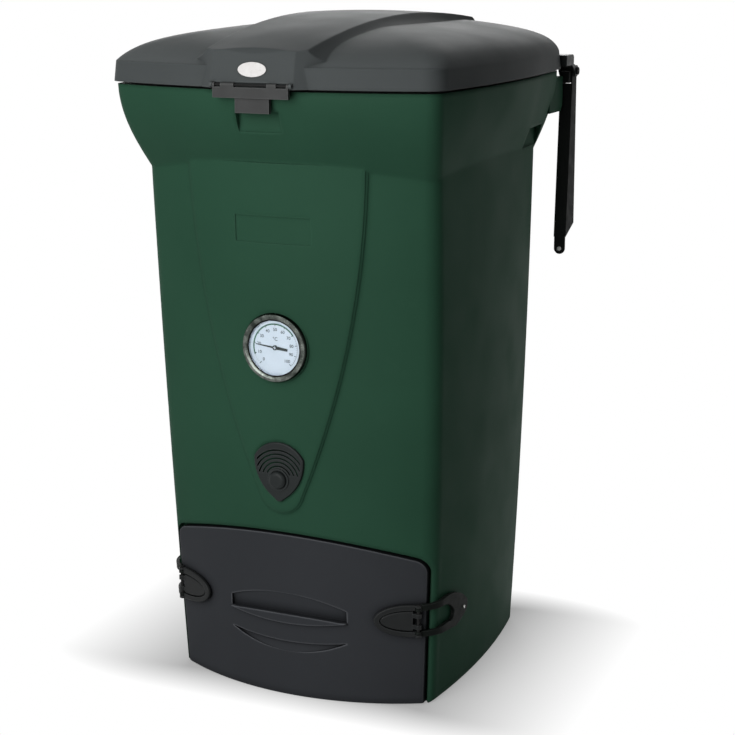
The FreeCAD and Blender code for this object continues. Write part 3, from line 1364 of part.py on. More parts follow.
def lid_inner_panel():
    rise = (LID_PANEL_Z + LID_PANEL_T - SKIRT_LOW_Z) / (SKIRT_HIGH_Z - SKIRT_LOW_Z)
    inset = LID_WALL + SEAT_GAP + SKIRT_DRAFT * rise
    panel = prism(ring(lid_plan(inset, LID_CORNER), LID_PANEL_Z), V(0, 0, LID_PANEL_T))
    return panel.cut(notch_keepout())


def notch_keepout():
    half = LID_LATCH_BAR_HALF + LID_LATCH_CLEAR + LID_LATCH_EAR_T + SEAT_GAP
    back = max(NOTCH_BACK_Y, LID_EAR_BACK_Y) + SEAT_GAP
    return block(-half, half, FAR_FRONT, back, SKIRT_LOW_Z - OVERCUT,
                 LID_LATCH_PIN_Z + LID_LATCH_KNUCKLE_R + LID_WALL + SEAT_GAP)


def lid_insulation():
    low = LID_PANEL_Z + LID_PANEL_T + SEAT_GAP
    core = lid_volume(LID_WALL + LID_FOAM_GAP, SKIRT_LOW_Z)
    core = core.cut(block(-FAR, FAR, -FAR, FAR, SKIRT_LOW_Z - OVERCUT, low))
    return core.cut(notch_keepout())


def lid_seal():
    plan = collar_plan(RIM_Z)
    low = RIM_Z + SEAT_GAP
    height = LID_PANEL_Z - SEAT_GAP - low
    outer = prism(ring(plan, low, LID_SEAL_INSET), V(0, 0, height))
    inner = prism(ring(plan, low - OVERCUT, LID_SEAL_INSET + LID_SEAL_W), V(0, 0, height + 2 * OVERCUT))
    return outer.cut(inner)


# Rear hinges: a bracket with an eye on the body, a knuckle with two lugs on the lid, one pin
def hinge_axis(radius, x0, x1):
    return rod(radius, V(x0, HINGE_Y, HINGE_Z), V(x1, HINGE_Y, HINGE_Z))


SCREW_X = BLOCK_INNER_X + BRACKET_MARGIN + SCREW_INSET / 2
SCREW_LEVELS = (BLOCK_LOW_Z + BLOCK_BEVEL + SCREW_INSET, BLOCK_HIGH_Z - BRACKET_MARGIN - SCREW_INSET)
BRACKET_BACK_Y = BLOCK_BACK_Y + SEAT_GAP + BRACKET_T


def hinge_bracket():
    plate = block(BLOCK_INNER_X + BRACKET_MARGIN, BLOCK_OUTER_X - BRACKET_MARGIN / 2, BLOCK_BACK_Y + SEAT_GAP,
                  BRACKET_BACK_Y, BLOCK_LOW_Z + BLOCK_BEVEL, BLOCK_HIGH_Z - BRACKET_MARGIN)
    eye_start = HINGE_X - EYE_HALF_W
    eye_end = HINGE_X + EYE_HALF_W
    lug = hinge_axis(EYE_R, eye_start, eye_end)
    lug = lug.fuse(block(eye_start, eye_end, BRACKET_BACK_Y - BRACKET_T, HINGE_Y, HINGE_Z - EYE_WEB_H, HINGE_Z))
    bracket = plate.fuse(lug).cut(hinge_axis(HINGE_PIN_R + PIN_CLEAR, 0, FAR))
    for z in SCREW_LEVELS:
        bracket = bracket.cut(rod(SCREW_R, V(SCREW_X, 0, z), V(SCREW_X, FAR, z)))
    return bracket


def hinge_screw(z):
    shank = rod(SCREW_R, V(SCREW_X, BRACKET_BACK_Y - SCREW_DEPTH, z), V(SCREW_X, BRACKET_BACK_Y, z))
    head_y = BRACKET_BACK_Y + SCREW_HEAD_T
    head = rod(SCREW_HEAD_R, V(SCREW_X, BRACKET_BACK_Y, z), V(SCREW_X, head_y, z))
    slot = block(SCREW_X - SCREW_HEAD_R, SCREW_X + SCREW_HEAD_R, head_y - SCREW_SLOT_DEPTH, head_y + OVERCUT,
                 z - SCREW_SLOT / 2, z + SCREW_SLOT / 2)
    return shank.fuse(head).cut(slot)


def screw_holes():
    holes = []
    for z in SCREW_LEVELS:
        holes.append(rod(SCREW_R, V(SCREW_X, BRACKET_BACK_Y - SCREW_DEPTH, z), V(SCREW_X, BRACKET_BACK_Y, z)))
    return Part.makeCompound(holes + [mirrored(hole) for hole in holes])


LUG_INNER_X = HINGE_X - ARM_HALF_W - LUG_GAP
LUG_OUTER_X = HINGE_X + ARM_HALF_W + LUG_GAP


def hinge_knuckle():
    bridge = block(LUG_INNER_X - LUG_T, LUG_OUTER_X + LUG_T, KNUCKLE_FRONT_Y, KNUCKLE_BACK_Y,
                   KNUCKLE_LOW_Z, KNUCKLE_HIGH_Z)
    high = KNUCKLE_HIGH_Z - OVERCUT
    back = KNUCKLE_BACK_Y - OVERCUT
    back_edges = edges_along(bridge, V(1, 0, 0), lambda p: p.y > back and p.z > high)
    bridge = bridge.makeFillet(KNUCKLE_ROUND, back_edges)
    side_edges = edges_along(bridge, V(0, 1, 0), lambda p: p.x > HINGE_X and p.z > high)
    bridge = bridge.makeFillet(KNUCKLE_ROUND / 2, side_edges)
    for x0 in (LUG_INNER_X - LUG_T, LUG_OUTER_X):
        lug = hinge_axis(EYE_R, x0, x0 + LUG_T)
        web = prism(polygon([
            V(x0, HINGE_Y + EYE_R, HINGE_Z),
            V(x0, KNUCKLE_BACK_Y, KNUCKLE_LOW_Z + OVERCUT),
            V(x0, LUG_ROOT_Y, KNUCKLE_LOW_Z + OVERCUT),
            V(x0, HINGE_Y - EYE_R, HINGE_Z),
        ]), V(LUG_T, 0, 0))
        bridge = bridge.fuse(lug).fuse(web)
    bridge = bridge.cut(hinge_axis(HINGE_PIN_R + PIN_CLEAR, 0, FAR))
    return bridge.cut(lid_volume(-SEAT_GAP, SKIRT_LOW_Z - OVERCUT))


def hinge_pin():
    start = LUG_INNER_X - LUG_T - HINGE_PIN_HEAD_T
    end = LUG_OUTER_X + LUG_T + KNUCKLE_GAP
    pin = hinge_axis(HINGE_PIN_R, start, end)
    return pin.fuse(hinge_axis(HINGE_PIN_HEAD_R, end, end + HINGE_PIN_HEAD_T))


# Stay arm: a channel that hangs from the hinge pin, deeper at its foot, with a rounded tab
def arm_point(x, y, z):
    return V(x, HINGE_Y + y, HINGE_Z + z)


def arm_side(x, grow=0.0):
    return polygon([
        arm_point(x, ARM_WEB_TOP_Y + grow, ARM_WEB_TOP_Z - grow),
        arm_point(x, ARM_WEB_LOW_Y + grow, ARM_WEB_LOW_Z - ARM_SLOPE_ROOM * grow),
        arm_point(x, ARM_BACK_LOW_Y + ARM_SLOPE_ROOM * grow, ARM_BACK_LOW_Z - ARM_SLOPE_ROOM * grow),
        arm_point(x, ARM_BACK_TOP_Y + ARM_SLOPE_ROOM * grow, 0),
        arm_point(x, -ARM_EYE_R + grow, 0),
    ])


def stay_arm():
    left = HINGE_X - ARM_HALF_W
    right = HINGE_X + ARM_HALF_W
    room_left = left + ARM_SHEET
    room_right = right - ARM_SHEET
    solid = prism(arm_side(left), V(right - left, 0, 0)).fuse(hinge_axis(ARM_EYE_R, left, right))
    room = prism(arm_side(room_left, ARM_SHEET), V(room_right - room_left, 0, 0))
    throat = block(room_left, room_right, HINGE_Y - EYE_R * 2, HINGE_Y + EYE_R * 2,
                   HINGE_Z + ARM_WEB_TOP_Z, HINGE_Z + EYE_R * 2)
    solid = solid.cut(room).cut(throat)
    return solid.fuse(arm_tab()).cut(hinge_axis(HINGE_PIN_R + PIN_CLEAR, 0, FAR))


# The arm's rounded tab, with the hole for its rivet
def arm_tab():
    front = ARM_WEB_LOW_Y
    back = front + ARM_SHEET
    centre = ARM_WEB_LOW_Z - ARM_TAB + ARM_TAB_HALF_W
    tab = block(HINGE_X - ARM_TAB_HALF_W, HINGE_X + ARM_TAB_HALF_W, HINGE_Y + front, HINGE_Y + back,
                HINGE_Z + centre, HINGE_Z + ARM_WEB_LOW_Z + ARM_TAB_LAP)
    tip = rod(ARM_TAB_HALF_W, arm_point(HINGE_X, front, centre), arm_point(HINGE_X, back, centre))
    hole = rod(ARM_TIP_PIN_R, arm_point(HINGE_X, front - OVERCUT, centre), arm_point(HINGE_X, 0, centre))
    return tab.fuse(tip).cut(hole)


def arm_tip_rivet():
    z = ARM_WEB_LOW_Z - ARM_TAB + ARM_TAB_HALF_W
    y = ARM_WEB_LOW_Y
    stem = rod(ARM_TIP_PIN_R, arm_point(HINGE_X, y, z), arm_point(HINGE_X, y + ARM_SHEET, z))
    head = rod(ARM_TIP_PIN_R + ARM_RIVET_HEAD, arm_point(HINGE_X, y, z),
               arm_point(HINGE_X, y - ARM_RIVET_HEAD, z))
    return stem.fuse(head)


if __name__ == "__main__":
    save("outer_shell", outer_shell())
    save("inner_liner", inner_liner())
    save("wall_insulation", wall_insulation())
    save("floor_grate", floor_grate())
    save("drain_spout", drain_spout())
    save("drain_cap", drain_cap())
    save("thermometer_case", thermometer_case())
    save("thermometer_dial", thermometer_dial())
    save("thermometer_bezel", thermometer_bezel())
    save("thermometer_glass", thermometer_glass())
    save("thermometer_spacer", thermometer_spacer())
    save("thermometer_needle", thermometer_needle())
    save("thermometer_probe", thermometer_probe())
    save("vent_cover", vent_cover())
    save("vent_knob", vent_knob())
    save("vent_shutter", vent_shutter())
    save("vent_duct", vent_duct())
    save("vent_inner_grille", vent_inner_grille())
    save("hatch_outer_panel", hatch_outer_panel())
    save("hatch_inner_tray", hatch_inner_tray())
    save("hatch_insulation", hatch_insulation())
    save("hatch_seal", hatch_seal())
    for side, place in (("right", lambda shape: shape), ("left", mirrored)):
        save("latch_lever_" + side, place(latch_lever()))
        save("latch_link_" + side, place(latch_link()))
        save("link_rivet_" + side, place(link_rivet()))
        save("latch_block_" + side, place(latch_block()))
        save("latch_pin_" + side, place(latch_pin()))
        save("side_catch_" + side, place(side_catch()))
        save("hinge_bracket_" + side, place(hinge_bracket()))
        save("hinge_knuckle_" + side, place(hinge_knuckle()))
        save("hinge_pin_" + side, place(hinge_pin()))
        save("stay_arm_" + side, place(stay_arm()))
        save("arm_tip_rivet_" + side, place(arm_tip_rivet()))
        save("hinge_screw_low_" + side, place(hinge_screw(SCREW_LEVELS[0])))
        save("hinge_screw_high_" + side, place(hinge_screw(SCREW_LEVELS[1])))
    save("lid_outer_shell", lid_outer_shell())
    save("lid_badge", badge_solid())
    save("lid_latch", lid_latch())
    save("lid_latch_pin", lid_latch_pin())
    save("lid_inner_panel", lid_inner_panel())
    save("lid_insulation", lid_insulation())
    save("lid_seal", lid_seal())
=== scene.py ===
# %% [markdown]
# # A garden compost bin
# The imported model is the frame: every solid has its place and size already. This lesson gives each piece
# the finish it has on a real bin, adds the printed scale of the thermometer, and sets up the light and the
# camera. Distances are in metres. X runs to the right as one faces the front, Y to the back, and Z up.

# %% Load the frame
import bpy
import math
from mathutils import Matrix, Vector


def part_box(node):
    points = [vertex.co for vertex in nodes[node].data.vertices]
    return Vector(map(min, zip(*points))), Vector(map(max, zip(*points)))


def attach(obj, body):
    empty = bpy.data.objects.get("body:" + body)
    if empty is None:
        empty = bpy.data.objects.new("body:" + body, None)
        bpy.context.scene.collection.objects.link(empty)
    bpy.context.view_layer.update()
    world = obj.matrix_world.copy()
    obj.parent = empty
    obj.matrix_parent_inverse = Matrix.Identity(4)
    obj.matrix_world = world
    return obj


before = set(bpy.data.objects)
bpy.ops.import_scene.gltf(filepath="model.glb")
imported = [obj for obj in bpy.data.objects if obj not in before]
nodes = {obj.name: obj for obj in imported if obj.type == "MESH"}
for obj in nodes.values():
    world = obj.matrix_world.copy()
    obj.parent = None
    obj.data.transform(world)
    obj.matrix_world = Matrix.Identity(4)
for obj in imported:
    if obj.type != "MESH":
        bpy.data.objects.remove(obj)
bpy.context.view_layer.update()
print("solids loaded:", len(nodes))

# %% [markdown]
# ## Light
# The bin stands in a white studio. A large soft lamp low in front gives the front its even light, a smaller
# one above it brightens the lid and the upper half, and a third one stands behind for the rear. The white
# room adds very little light of its own, but the camera sees it as plain white, and so does whatever shines
# in the glass or the steel.

# %% World
WHITE = (1, 1, 1, 1)
ROOM_SEEN = 1.0
ROOM_LIGHT = 0.05

scene = bpy.context.scene
scene.view_settings.view_transform = "Standard"


def looking_rays(tree):
    """1 for rays that look at the room: from the camera, off a gloss, or through glass."""
    path = tree.nodes.new("ShaderNodeLightPath")
    rays = path.outputs["Is Camera Ray"]
    for kind in ("Is Glossy Ray", "Is Transmission Ray"):
        either = tree.nodes.new("ShaderNodeMath")
        either.operation = "MAXIMUM"
        tree.links.new(rays, either.inputs[0])
        tree.links.new(path.outputs[kind], either.inputs[1])
        rays = either.outputs["Value"]
    return rays


def white_air(tree, strength):
    """A white background of the given strength."""
    air = tree.nodes.new("ShaderNodeBackground")
    air.inputs["Color"].default_value = WHITE
    air.inputs["Strength"].default_value = strength
    return air.outputs["Background"]


def studio_world():
    world = bpy.data.worlds.new("studio_air")
    scene.world = world
    world.use_nodes = True
    tree = world.node_tree
    tree.nodes.clear()
    pick = tree.nodes.new("ShaderNodeMixShader")
    end = tree.nodes.new("ShaderNodeOutputWorld")
    tree.links.new(looking_rays(tree), pick.inputs["Fac"])
    tree.links.new(white_air(tree, ROOM_LIGHT), pick.inputs[1])
    tree.links.new(white_air(tree, ROOM_SEEN), pick.inputs[2])
    tree.links.new(pick.outputs["Shader"], end.inputs["Surface"])
    return world


world = studio_world()
print("made", world.name, "with strength", ROOM_LIGHT, "on the object")


# %% Lamps
def soft_lamp(name, place, aim, size, power):
    """A round area lamp at place that looks at aim."""
    lamp = bpy.data.lights.new(name, "AREA")
    lamp.shape = "DISK"
    lamp.size = size
    lamp.energy = power
    holder = bpy.data.objects.new(name, lamp)
    scene.collection.objects.link(holder)
    holder.location = place
    away = holder.location - Vector(aim)
    holder.rotation_euler = away.to_track_quat("Z", "Y").to_euler()
    return holder


front_lamp = soft_lamp("front_lamp", place=(-0.2, -2.8, 1.1), aim=(0, 0, 0.6), size=2.0, power=50)
lid_lamp = soft_lamp("lid_lamp", place=(-0.3, -1.7, 1.9), aim=(0, 0, 0.8), size=1.4, power=12)
back_lamp = soft_lamp("back_lamp", place=(-1.0, 2.6, 1.5), aim=(0, 0, 0.6), size=2.0, power=30)
print("lamps:", front_lamp.name, lid_lamp.name, back_lamp.name)

# %% [markdown]
# ## Camera
# The camera stands to the right of the bin's front and looks slightly down, with a long lens, so that upright
# edges stay nearly upright.

# %% Camera
LENS_MM = 81.44
SENSOR_MM = 36.0
CAMERA_PLACE = (1.1354, -2.5513, 1.1845)
CAMERA_TILT_DEG = 76.18
CAMERA_TURN_DEG = 23.55

lens = bpy.data.cameras.new("view")
lens.lens = LENS_MM
lens.sensor_width = SENSOR_MM
view = bpy.data.objects.new("view", lens)
scene.collection.objects.link(view)
view.location = CAMERA_PLACE
view.rotation_euler = (math.radians(CAMERA_TILT_DEG), 0.0, math.radians(CAMERA_TURN_DEG))
scene.camera = view
print("camera at", tuple(round(v, 3) for v in view.location))

# %% [markdown]
# ## Floor
# A wide white floor. Close round the foot it is partly matt and keeps the bin's real soft shadow; there the
# white glow is also held back, a painted shadow halo shaped by the foot. Further out it fades into the plain
# white of the room, sooner in front and behind than at the sides.

# %% Floor
FLOOR_HALF = 14.0
FOOT_HALF_X = 0.215
FOOT_HALF_Y = 0.235
FRONT_RATE = 2.7
FADE_REACH = 0.25
GLOW_AT_FOOT = 0.30
FLOOR_MATT = (0.42, 0.42, 0.42, 1)


def vector_step(tree, operation, source, amount=None):
    """One vector operation on source, with amount as its second vector if there is one."""
    step = tree.nodes.new("ShaderNodeVectorMath")
    step.operation = operation
    tree.links.new(source, step.inputs[0])
    if amount is not None:
        step.inputs[1].default_value = amount
    return step.outputs["Value" if operation == "LENGTH" else "Vector"]


def distance_from_foot(tree, half_x, half_y, front_rate):
    """Metres beside an upright-sided box on the ground; before and behind it they count front_rate times."""
    place = tree.nodes.new("ShaderNodeNewGeometry")
    fold = vector_step(tree, "ABSOLUTE", place.outputs["Position"])
    past = vector_step(tree, "SUBTRACT", fold, (half_x, half_y, 0))
    outside = vector_step(tree, "MAXIMUM", past)
    uneven = vector_step(tree, "MULTIPLY", outside, (1, front_rate, 1))
    return vector_step(tree, "LENGTH", uneven)


def floor_white():
    """Matt near the foot with a painted shadow halo there, and glowing white further out for the rays that
    look at it.
    """
    paint = bpy.data.materials.new("floor_white")
    paint.use_nodes = True
    tree = paint.node_tree
    tree.nodes.clear()
    # Painted shadow: the glow starts at GLOW_AT_FOOT by the foot and grows with distance, darkening a halo
    # round the foot.
    painted_halo = tree.nodes.new("ShaderNodeMapRange")
    painted_halo.inputs["From Min"].default_value = 0.0
    painted_halo.inputs["From Max"].default_value = FADE_REACH
    painted_halo.inputs["To Min"].default_value = GLOW_AT_FOOT
    painted_halo.inputs["To Max"].default_value = 1.0
    both = tree.nodes.new("ShaderNodeMath")
    both.operation = "MULTIPLY"
    matt = tree.nodes.new("ShaderNodeBsdfDiffuse")
    matt.inputs["Color"].default_value = FLOOR_MATT
    glow = tree.nodes.new("ShaderNodeEmission")
    glow.inputs["Color"].default_value = WHITE
    mix = tree.nodes.new("ShaderNodeMixShader")
    end = tree.nodes.new("ShaderNodeOutputMaterial")
    tree.links.new(distance_from_foot(tree, FOOT_HALF_X, FOOT_HALF_Y, FRONT_RATE), painted_halo.inputs["Value"])
    tree.links.new(painted_halo.outputs["Result"], both.inputs[0])
    tree.links.new(looking_rays(tree), both.inputs[1])
    tree.links.new(both.outputs["Value"], mix.inputs["Fac"])
    tree.links.new(matt.outputs["BSDF"], mix.inputs[1])
    tree.links.new(glow.outputs["Emission"], mix.inputs[2])
    tree.links.new(mix.outputs["Shader"], end.inputs["Surface"])
    return paint


def studio_floor(half):
    corners = [(-half, -half, 0), (half, -half, 0), (half, half, 0), (-half, half, 0)]
    mesh = bpy.data.meshes.new("studio_floor")
    mesh.from_pydata(corners, [], [(0, 1, 2, 3)])
    mesh.materials.append(floor_white())
    floor = bpy.data.objects.new("studio_floor", mesh)
    scene.collection.objects.link(floor)
    return floor


floor = studio_floor(FLOOR_HALF)
print("floor is", round(floor.dimensions.x), "m wide")

# %% [markdown]
# ## Moulded plastic
# The body, the lid and the hatch come out of a heated mould that turns slowly. Such skins have a fine grain,
# a colour that drifts a little from place to place, faint waves, and edges that are never quite sharp. All of
# it is made in the object's own space, so it needs no unwrapping and looks the same from every side.

# %% Helpers for finishes
SHADE_SAMPLES = 6


def new_finish(name, metal=0.0):
    """A new material with its node tree and its shader."""
    paint = bpy.data.materials.new(name)
    paint.use_nodes = True
    shader = paint.node_tree.nodes["Principled BSDF"]
    shader.inputs["Metallic"].default_value = metal
    return paint, paint.node_tree, shader


def noise(tree, size, detail=2.0, rough=0.5):
    """Noise whose blobs are about size metres across."""
    place = tree.nodes.new("ShaderNodeTexCoord")
    grain = tree.nodes.new("ShaderNodeTexNoise")
    grain.inputs["Scale"].default_value = 1.0 / size
    grain.inputs["Detail"].default_value = detail
    grain.inputs["Roughness"].default_value = rough
    tree.links.new(place.outputs["Object"], grain.inputs["Vector"])
    return grain.outputs["Fac"]


def spread(tree, value, low, high, start=0.3, end=0.7):
    """Maps value from start..end to low..high."""
    span = tree.nodes.new("ShaderNodeMapRange")
    span.inputs["From Min"].default_value = start
    span.inputs["From Max"].default_value = end
    span.inputs["To Min"].default_value = low
    span.inputs["To Max"].default_value = high
    tree.links.new(value, span.inputs["Value"])
    return span.outputs["Result"]


def scaled(colour, factor, lift=0.0):
    """The colour times factor, made paler by lift."""
    return tuple(c * factor + lift for c in colour)


def tint(tree, value, dark, light):
    """Between two colours, as value says."""
    mix = tree.nodes.new("ShaderNodeMix")
    mix.data_type = "RGBA"
    mix.inputs["A"].default_value = (*dark, 1)
    mix.inputs["B"].default_value = (*light, 1)
    tree.links.new(value, mix.inputs["Factor"])
    return mix.outputs["Result"]


def overlay(tree, value, colour, top):
    """Lays the colour top over colour, as much as value says."""
    mix = tree.nodes.new("ShaderNodeMix")
    mix.data_type = "RGBA"
    mix.inputs["B"].default_value = (*top, 1)
    tree.links.new(value, mix.inputs["Factor"])
    tree.links.new(colour, mix.inputs["A"])
    return mix.outputs["Result"]


def bump(tree, height, depth, under=None):
    """Relief depth metres deep, on top of the normal under."""
    rise = tree.nodes.new("ShaderNodeBump")
    rise.inputs["Distance"].default_value = depth
    tree.links.new(height, rise.inputs["Height"])
    if under is not None:
        tree.links.new(under, rise.inputs["Normal"])
    return rise.outputs["Normal"]


def soft_edges(tree, radius):
    """Normals that round every edge off by radius."""
    edge = tree.nodes.new("ShaderNodeBevel")
    edge.samples = SHADE_SAMPLES
    edge.inputs["Radius"].default_value = radius
    return edge.outputs["Normal"]


def near_edges(tree, reach, amount):
    """How near an outer edge is, from 0 on the flat to amount on the edge itself."""
    inner = tree.nodes.new("ShaderNodeAmbientOcclusion")
    inner.inside = True
    inner.only_local = True
    inner.samples = SHADE_SAMPLES
    inner.inputs["Distance"].default_value = reach
    return spread(tree, inner.outputs["AO"], low=amount, high=0.0, start=0.45, end=0.95)


def in_hollows(tree, reach, amount, deep):
    """How deep a point lies in a hollow or an inner corner, from 0 on the flat to amount."""
    outer = tree.nodes.new("ShaderNodeAmbientOcclusion")
    outer.samples = SHADE_SAMPLES
    outer.inputs["Distance"].default_value = reach
    return spread(tree, outer.outputs["AO"], low=amount, high=0.0, start=deep, end=0.985)


print("finish helpers ready")

# %% Moulded skins
SKIN_DRIFT = 0.25
SKIN_SPECK = 0.0015
SKIN_RUB = 0.05
SKIN_SHINE = 0.08
SKIN_WAVE = 0.16
SKIN_GRAIN = 0.0020
SKIN_WAVE_DEPTH = 0.0012
SKIN_ROUGH_SWING = 0.04
SKIN_HIGHLIGHT_REACH = 0.0030


def moulded_skin(name, colour, rough, sheen, grain, edge, scuff=0.10, worn=0.0, shade=0.0, reach=0.018,
                 deep=0.35):
    """A rotomoulded skin: colour drift, fine grain, faint rubs, soft edges with painted highlight, painted
    shade in hollows.
    """
    paint, tree, shader = new_finish(name)
    drift = spread(tree, noise(tree, SKIN_DRIFT, detail=3.0), 0.0, 1.0)
    tone = tint(tree, drift, scaled(colour, 0.93), scaled(colour, 1.07))
    speck = spread(tree, noise(tree, SKIN_SPECK, detail=2.0, rough=0.6), 0.0, 0.14, start=0.52, end=0.80)
    tone = overlay(tree, speck, tone, scaled(colour, 1.5, 0.004))
    rub = spread(tree, noise(tree, SKIN_RUB, detail=7.0, rough=0.72), 0.0, scuff, start=0.58, end=0.78)
    tone = overlay(tree, rub, tone, scaled(colour, 1.3, 0.012))
    # Painted highlight: the outer edges are lightened to stand in for the light that rounded edges catch.
    if worn:
        tone = overlay(tree, near_edges(tree, SKIN_HIGHLIGHT_REACH, worn), tone, scaled(colour, 2.4, 0.030))
    # Painted shade: hollows and inner corners are darkened to stand in for the shade that falls in them.
    if shade:
        tone = overlay(tree, in_hollows(tree, reach, shade, deep), tone, scaled(colour, 0.25))
    tree.links.new(tone, shader.inputs["Base Color"])
    shine = noise(tree, SKIN_SHINE, detail=4.0)
    matt = spread(tree, shine, rough - SKIN_ROUGH_SWING, rough + SKIN_ROUGH_SWING)
    tree.links.new(matt, shader.inputs["Roughness"])
    shader.inputs["Specular IOR Level"].default_value = sheen
    normal = soft_edges(tree, edge)
    normal = bump(tree, noise(tree, SKIN_WAVE, detail=1.0), SKIN_WAVE_DEPTH, normal)
    normal = bump(tree, noise(tree, SKIN_GRAIN, detail=3.0, rough=0.6), grain, normal)
    tree.links.new(normal, shader.inputs["Normal"])
    return paint


# The edge number paints a highlight on each skin's outer edges, and shade paints shade into its hollows.
body_green = moulded_skin("body_green", (0.0210, 0.0640, 0.0385), rough=0.55, sheen=0.03, grain=0.00008,
                          edge=0.0130, worn=0.12, shade=0.12)
lid_grey = moulded_skin("lid_grey", (0.062, 0.069, 0.070), rough=0.52, sheen=0.03, grain=0.00008,
                        edge=0.0060, worn=0.28, shade=0.65, reach=0.030, deep=0.72)
hatch_grey = moulded_skin("hatch_grey", (0.0335, 0.0358, 0.0400), rough=0.55, sheen=0.03, grain=0.00008,
                          edge=0.0030, worn=0.95, shade=0.9)
liner_grey = moulded_skin("liner_grey", (0.072, 0.072, 0.070), rough=0.58, sheen=0.08, grain=0.00016,
                          edge=0.0010, scuff=0.18)
for finish in (body_green, lid_grey, hatch_grey, liner_grey):
    print("made", finish.name)

# %% [markdown]
# ## Small plastic parts
# The vent, the latches and the lid's latch are injection moulded: darker and a little shinier than the skins,
# with a satin sheen and finer grain.

# %% Satin plastics
SATIN_DRIFT = 0.03
SATIN_RUB = 0.004
SATIN_SHINE = 0.012
SATIN_GRAIN = 0.0012
SATIN_GRAIN_DEPTH = 0.00006
SATIN_ROUGH_SWING = 0.07
SATIN_HIGHLIGHT_REACH = 0.0016
SATIN_EDGE = 0.0012


def satin_plastic(name, colour, rough, sheen=0.12):
    """A small moulded part: light rubs, edges lightened as a painted highlight, and a satin shine that
    changes a little.
    """
    paint, tree, shader = new_finish(name)
    shader.inputs["Specular IOR Level"].default_value = sheen
    drift = spread(tree, noise(tree, SATIN_DRIFT, detail=3.0), 0.0, 1.0)
    tone = tint(tree, drift, scaled(colour, 0.88), scaled(colour, 1.12))
    rub = spread(tree, noise(tree, SATIN_RUB, detail=5.0, rough=0.65), 0.0, 0.30, start=0.60, end=0.80)
    tone = overlay(tree, rub, tone, scaled(colour, 1.6, 0.006))
    # Painted highlight: the outer edges are lightened to stand in for the light they catch.
    tone = overlay(tree, near_edges(tree, SATIN_HIGHLIGHT_REACH, 0.8), tone, scaled(colour, 2.2, 0.012))
    tree.links.new(tone, shader.inputs["Base Color"])
    shine = noise(tree, SATIN_SHINE, detail=4.0)
    matt = spread(tree, shine, rough - SATIN_ROUGH_SWING, rough + SATIN_ROUGH_SWING)
    tree.links.new(matt, shader.inputs["Roughness"])
    grain = noise(tree, SATIN_GRAIN, detail=2.0, rough=0.6)
    normal = bump(tree, grain, SATIN_GRAIN_DEPTH, soft_edges(tree, SATIN_EDGE))
    tree.links.new(normal, shader.inputs["Normal"])
    return paint


vent_black = satin_plastic("vent_black", (0.015, 0.018, 0.018), rough=0.42)
latch_black = satin_plastic("latch_black", (0.0150, 0.0162, 0.0165), rough=0.40, sheen=0.09)
# The loops are a darker copy of the latch black: painted shade for the shaded sides of the bin where they
# sit.
loop_black = satin_plastic("loop_black", (0.0080, 0.0098, 0.0088), rough=0.45, sheen=0.03)
latch_brown = satin_plastic("latch_brown", (0.038, 0.039, 0.039), rough=0.42)
seal_black = satin_plastic("seal_black", (0.008, 0.008, 0.008), rough=0.70, sheen=0.04)
for finish in (vent_black, latch_black, loop_black, latch_brown, seal_black):
    print("made", finish.name)

# %% [markdown]
# ## Metal
# The thermometer's rim is polished, its case, the screws and the rivets are plain turned steel, and the pins
# and the stay arms are steel under black paint. A changing roughness keeps the metal from looking like a
# mirror.

# %% Metals
STEEL_EDGE = 0.0006
PAINTED_EDGE = 0.0012
PAINTED_SHEEN = 0.02
CHIP_GREY = (0.07, 0.068, 0.065)


def turned_steel(name, colour, rough, scratch):
    """Bare steel with fine scratches."""
    paint, tree, shader = new_finish(name, metal=1.0)
    drift = spread(tree, noise(tree, 0.008, detail=4.0), 0.0, 1.0)
    tree.links.new(tint(tree, drift, scaled(colour, 0.86), colour), shader.inputs["Base Color"])
    matt = spread(tree, noise(tree, 0.002, detail=5.0, rough=0.7), rough - 0.08, rough + 0.10)
    tree.links.new(matt, shader.inputs["Roughness"])
    normal = bump(tree, noise(tree, 0.0007, detail=2.0), scratch, soft_edges(tree, STEEL_EDGE))
    tree.links.new(normal, shader.inputs["Normal"])
    return paint


def painted_steel(name, colour, rough):
    """Sheet steel under black paint, with small greyish chips."""
    paint, tree, shader = new_finish(name)
    drift = spread(tree, noise(tree, 0.05, detail=3.0), 0.0, 1.0)
    tone = tint(tree, drift, scaled(colour, 0.85), scaled(colour, 1.15))
    chips = spread(tree, noise(tree, 0.006, detail=7.0, rough=0.75), 0.0, 0.5, start=0.68, end=0.76)
    tree.links.new(overlay(tree, chips, tone, CHIP_GREY), shader.inputs["Base Color"])
    matt = spread(tree, noise(tree, 0.02, detail=4.0), rough - 0.08, rough + 0.08)
    tree.links.new(matt, shader.inputs["Roughness"])
    shader.inputs["Specular IOR Level"].default_value = PAINTED_SHEEN
    normal = bump(tree, noise(tree, 0.0018, detail=3.0), 0.00012, soft_edges(tree, PAINTED_EDGE))
    tree.links.new(normal, shader.inputs["Normal"])
    return paint


print("steel helpers ready")

# %% The thermometer's rim and the other metals
RIM_REFLECTION_DARK = (0.030, 0.036, 0.032)
RIM_REFLECTION_LIGHT = (0.150, 0.165, 0.150)
RIM_EDGE_REFLECTION = (0.006, 0.007, 0.006)
GLASS_OVER_RIM = 0.0015


